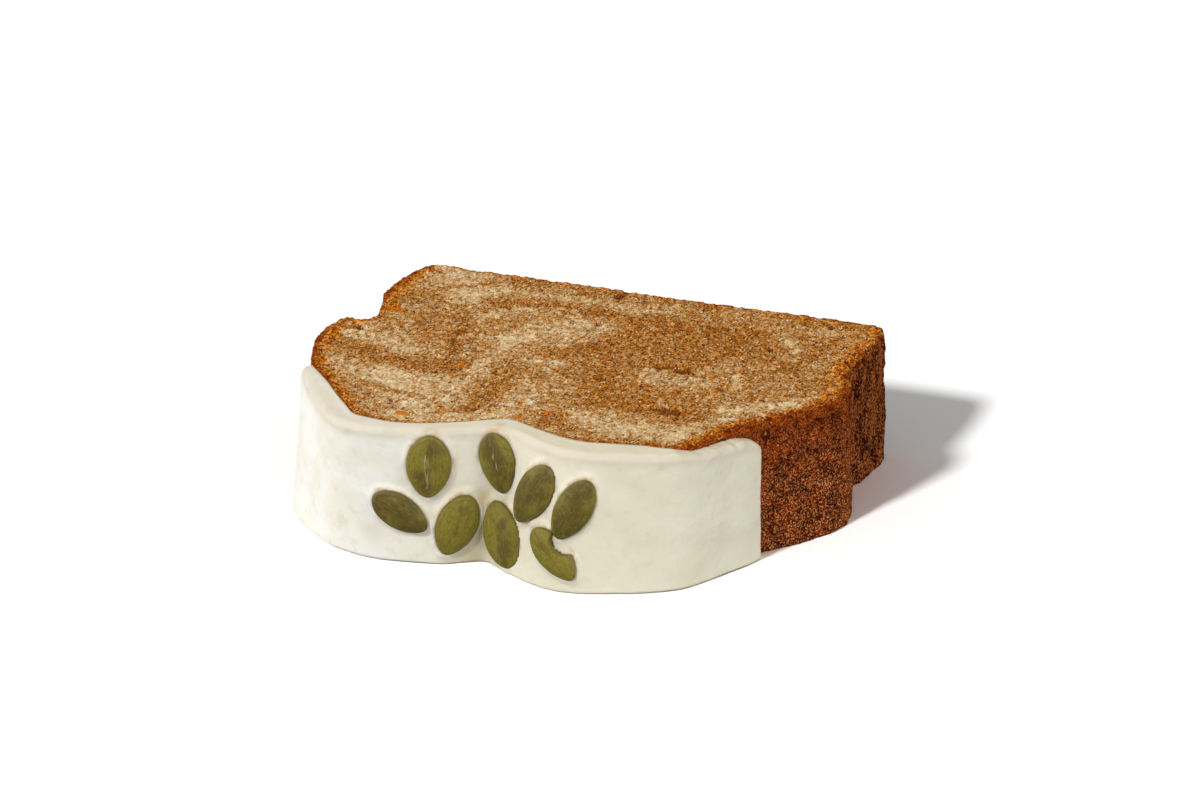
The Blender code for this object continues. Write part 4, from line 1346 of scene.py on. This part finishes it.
def toasted_colour(tree, seen, crust):
    """The rim between crumb and crust, golden where least browned, with painted highlight and shade on its
    clumps.
    """
    golden = swing(tree, swing(tree, 0.5, seen.grit, 2.2), crust, -0.6)
    toasted = mix(tree, step_mask(tree, golden, 0.02, 0.40), TOAST_DARK, TOAST_GOLD)
    # Painted highlight on lit clumps and painted shade in their crevices.
    toasted = mix(tree, share(tree, seen.tone, 0.50, 0.85, 0.6), toasted, TOAST_LIT)
    toasted = mix(tree, share(tree, seen.crevice, 0.46, 0.74, 0.6), toasted, TOAST_CREVICE_SHADE)
    toasted = mix(tree, share(tree, seen.sand, 0.53, 0.65, 0.7), toasted, TOAST_GRAIN)
    return mix(tree, share(tree, seen.grains, 0.51, 0.38, 0.9), toasted, TOAST_PIT)


def loaf_bump(tree, seen, crust):
    """Low bumps of crumbs and grains, deeper on the crust."""
    height = maths(tree, "ADD", times(tree, seen.grains, 0.4), seen.grit)
    height = maths(tree, "ADD", height, times(tree, seen.sand, 0.4))
    height = maths(tree, "SUBTRACT", height, times(tree, seen.crevice, 0.25))
    height = maths(tree, "SUBTRACT", height, times(tree, seen.small_pores, 0.5))
    height = times(tree, height, maths(tree, "ADD", times(tree, crust, 1.2), 1.0))
    bump = node(tree, "ShaderNodeBump", {"Height": height, "Strength": 0.9, "Distance": 0.00045})
    return bump.outputs["Normal"]


def loaf_material(group):
    """Sandy marbled crumb, turning to browned crust at the rim and down the sides."""
    material, tree, shader, place = new_material("marbled_loaf")
    marble, crust, shred, pit_shade = channels(tree, "batter")
    below, far_wall, rise, flake = channels(tree, "crust_tone")
    seen = loaf_patterns(tree, group, place)
    crumb = crumb_colour(tree, seen, marble, pit_shade, shred, flake)
    browned = swing(tree, swing(tree, swing(tree, crust, seen.sand, 0.9), seen.grit, 0.9), seen.patch, 0.6)
    colour = mix(tree, step_mask(tree, browned, 0.10, 0.55), crumb, toasted_colour(tree, seen, crust))
    browned = maths(tree, "ADD", browned, share(tree, below, 0.10, 0.70, 0.22))
    skin = crust_colour(tree, seen, below, far_wall, rise)
    colour = mix(tree, step_mask(tree, browned, 0.86, 1.02), colour, skin)
    # Painted shade in the middles of holes and in small pores.
    pit_middle_shade = share(tree, pit_shade, 0.30, 0.65, 0.75)
    hole_shade = maths(tree, "MAXIMUM", times(tree, seen.small_pores, 0.75), pit_middle_shade)
    colour = mix(tree, hole_shade, colour, PORE_SHADE)
    # Glints: painted highlights, fewer on the crust.
    glint = mix(tree, crust, CRUMB_GLINT, CRUST_GLINT)
    colour = mix(tree, times(tree, seen.glints, swing(tree, 0.5, crust, -0.7)), colour, glint)
    tree.links.new(colour, shader.inputs["Base Color"])
    tree.links.new(loaf_bump(tree, seen, crust), shader.inputs["Normal"])
    rough = node(tree, "ShaderNodeMapRange", {"Value": crust, "To Min": 0.9, "To Max": 0.65})
    tree.links.new(rough.outputs["Result"], shader.inputs["Roughness"])
    shader.inputs["Specular IOR Level"].default_value = 0.0
    return material


def icing_material(group):
    """Thick cream icing: satin, faintly mottled, stained round the seeds, painted shade at its right, cut
    and edge.
    """
    material, tree, shader, place = new_material("cream_icing")
    edge, stained, band, shade = channels(tree, "icing_tone")
    cloud = noise_mask(tree, place, 0.009, 3.0, 0.5)
    mottle = noise_mask(tree, place, 0.0028, 3.0, 0.6)
    fine = noise_mask(tree, place, 0.0007, 2.0, 0.5)
    along_x = node(tree, "ShaderNodeSeparateXYZ", {"Vector": place}).outputs["X"]
    # Darker and creamier towards the right: painted shade on the side turned from the main lamp.
    to_right = step_mask(tree, along_x, *ICING_TURNS)
    clean = mix(tree, to_right, CLEAN_LEFT, CLEAN_RIGHT_SHADED)
    clouded = mix(tree, to_right, CLOUDED_LEFT, CLOUDED_RIGHT_SHADED)
    colour = mix(tree, share(tree, cloud, 0.38, 0.68, 0.7), clean, clouded)
    # Painted shade between and below the seeds and near the foot.
    colour = mix(tree, times(tree, shade, 0.9), colour, ICING_SHADE)
    colour = mix(tree, share(tree, mottle, 0.52, 0.75, 0.4), colour, ICING_MOTTLE)
    # Painted shade on the cut band.
    colour = mix(tree, times(tree, band, 0.55), colour, ICING_BAND_SHADE)
    # Painted shade along the upper edge, where the rounded edge turns from cut to face.
    colour = mix(tree, times(tree, edge, 0.9), colour, ICING_EDGE_SHADE)
    edge_spots = times(tree, edge, share(tree, mottle, 0.45, 0.70, 0.15))
    colour = mix(tree, edge_spots, colour, ICING_EDGE_SPOT)
    stain = times(tree, stained, share(tree, mottle, 0.40, 0.65, 0.65))
    colour = mix(tree, stain, colour, SEED_STAIN)
    grains = specks(tree, group, place, 0.0025, 0.06)
    colour = mix(tree, times(tree, grains, 0.16), colour, ICING_SPECK)
    tree.links.new(colour, shader.inputs["Base Color"])
    height = maths(tree, "ADD", mottle, times(tree, fine, 0.25))
    bump = node(tree, "ShaderNodeBump", {"Height": height, "Strength": 0.35, "Distance": 0.0003})
    tree.links.new(bump.outputs["Normal"], shader.inputs["Normal"])
    shader.inputs["Roughness"].default_value = 0.55
    shader.inputs["Specular IOR Level"].default_value = 0.35
    shader.inputs["Subsurface Weight"].default_value = 0.25
    shader.inputs["Subsurface Radius"].default_value = (0.0016, 0.0012, 0.0008)
    shader.inputs["Subsurface Scale"].default_value = 1.0
    return material


def seed_lines(tree, across, along, number, breaks):
    """Fine lines that run from one end of a seed to the other, where they draw together."""
    drawn = {0: times(tree, across, number), 1: times(tree, along, breaks)}
    place = node(tree, "ShaderNodeCombineXYZ", drawn).outputs[0]
    return noise_mask(tree, place, 1.0, 1.0, 0.5)


def seed_material():
    """Hulled pumpkin seed: olive, lighter towards its rim, with fine lines, a brown outline and scuffs."""
    material, tree, shader, place = new_material("pumpkin_seed_skin")
    across, along, ring, scuffed = channels(tree, "seed_place")
    lighter = channels(tree, "seed_tone")[0]
    fine_lines = seed_lines(tree, across, along, 60.0, 5.0)
    broad_lines = seed_lines(tree, across, along, 14.0, 3.0)
    cloud = noise_mask(tree, place, 0.0045, 2.0, 0.5)
    fine = noise_mask(tree, place, 0.0006, 2.0, 0.5)
    from_middle = maths(tree, "ABSOLUTE", maths(tree, "SUBTRACT", across, 0.5))
    rim = swing(tree, swing(tree, from_middle, cloud, 1.5), lighter, 2.0)
    green = mix(tree, step_mask(tree, rim, 0.00, 0.48), SEED_DARK, SEED_LIGHT)
    green = mix(tree, share(tree, broad_lines, 0.50, 0.70, 0.22), green, BROAD_LINE_LIT)
    green = mix(tree, share(tree, broad_lines, 0.50, 0.32, 0.22), green, BROAD_LINE_DARK)
    green = mix(tree, share(tree, fine_lines, 0.50, 0.70, 0.25), green, FINE_LINE_LIT)
    green = mix(tree, share(tree, fine_lines, 0.50, 0.32, 0.25), green, FINE_LINE_DARK)
    green = mix(tree, share(tree, fine, 0.48, 0.34, 0.3), green, SEED_SPECK_DARK)
    green = mix(tree, share(tree, fine, 0.55, 0.72, 0.3), green, SEED_SPECK_LIT)
    green = mix(tree, share(tree, ring, 0.93, 0.99, 0.35), green, SEED_OUTLINE)
    scratch = times(tree, step_mask(tree, scuffed, 0.0, 0.8), step_mask(tree, fine_lines, 0.46, 0.58))
    green = mix(tree, times(tree, scratch, 0.75), green, SEED_SCUFF)
    tree.links.new(green, shader.inputs["Base Color"])
    height = maths(tree, "ADD", fine_lines, times(tree, fine, 0.4))
    bump = node(tree, "ShaderNodeBump", {"Height": height, "Strength": 0.35, "Distance": 0.0002})
    tree.links.new(bump.outputs["Normal"], shader.inputs["Normal"])
    shader.inputs["Roughness"].default_value = 0.48
    shader.inputs["Specular IOR Level"].default_value = 0.3
    return material


def make_floor():
    """A pale floor. It looks nearly white, and throws less light back on the slice than that."""
    bm = bmesh.new()
    bmesh.ops.create_grid(bm, x_segments=1, y_segments=1, size=FLOOR_SIZE / 2)
    mesh = mesh_from(bm, "pale_floor")
    material, tree, shader, _ = new_material("pale_floor")
    seen = node(tree, "ShaderNodeLightPath").outputs["Is Camera Ray"]
    colour = mix(tree, seen, (*FLOOR_BOUNCE, 1.0), (*FLOOR_SEEN, 1.0))
    white = node(tree, "ShaderNodeBsdfDiffuse", {"Color": colour})
    tree.links.new(white.outputs["BSDF"], tree.nodes["Material Output"].inputs["Surface"])
    tree.nodes.remove(shader)
    mesh.materials.append(material)
    floor = bpy.data.objects.new("pale_floor", mesh)
    bpy.context.scene.collection.objects.link(floor)


def add_lamp(name, source, strength, angle):
    """A sun lamp that shines from this direction."""
    lamp = bpy.data.lights.new(name, "SUN")
    lamp.energy = strength
    lamp.angle = math.radians(angle)
    lamp_object = bpy.data.objects.new(name, lamp)
    lamp_object.rotation_euler = source.to_track_quat("Z", "Y").to_euler()
    bpy.context.scene.collection.objects.link(lamp_object)
    return lamp_object


def make_lights(pieces):
    """The main lamp, the broad lamps that light the slice alone, and the room's even light."""
    slice_only = bpy.data.collections.new("slice_only")
    for piece in pieces:
        slice_only.objects.link(piece)
    add_lamp("lamp_main", LAMP_FROM, LAMP_STRENGTH, LAMP_ANGLE)
    for name, (source, strength) in BROAD_LAMPS.items():
        lamp_object = add_lamp(name, Vector(source), strength, BROAD_ANGLE)
        lamp_object.light_linking.receiver_collection = slice_only
    world = bpy.data.worlds.new("studio")
    world.use_nodes = True
    background = world.node_tree.nodes["Background"]
    background.inputs["Color"].default_value = (1.0, 1.0, 1.0, 1.0)
    background.inputs["Strength"].default_value = ROOM_LIGHT
    bpy.context.scene.world = world


def make_camera():
    """The camera at the photograph's viewing angle."""
    azimuth = math.radians(CAMERA_AZIMUTH)
    elevation = math.radians(CAMERA_ELEVATION)
    back = Vector((
        math.sin(azimuth) * math.cos(elevation),
        -math.cos(azimuth) * math.cos(elevation),
        math.sin(elevation),
    ))
    right = Vector((math.cos(azimuth), math.sin(azimuth), 0.0))
    up = back.cross(right)
    target = CAMERA_POINT + up * AIM_ABOVE - right * AIM_LEFT
    place = CAMERA_POINT + back * CAMERA_DISTANCE
    camera = bpy.data.cameras.new("camera")
    camera.lens = CAMERA_LENS
    camera.sensor_width = SENSOR_WIDTH
    camera.clip_end = 20.0
    camera_object = bpy.data.objects.new("camera", camera)
    camera_object.location = place
    camera_object.rotation_euler = (place - target).to_track_quat("Z", "Y").to_euler()
    bpy.context.scene.collection.objects.link(camera_object)
    bpy.context.scene.camera = camera_object


def main():
    group = specks_group()
    pieces = [make_loaf(loaf_material(group)), make_icing(icing_material(group))]
    skin = seed_material()
    pieces += [make_seed(name, skin) for name in SEEDS]
    make_floor()
    make_lights(pieces)
    make_camera()
    bpy.context.scene.view_settings.view_transform = "Standard"


main()
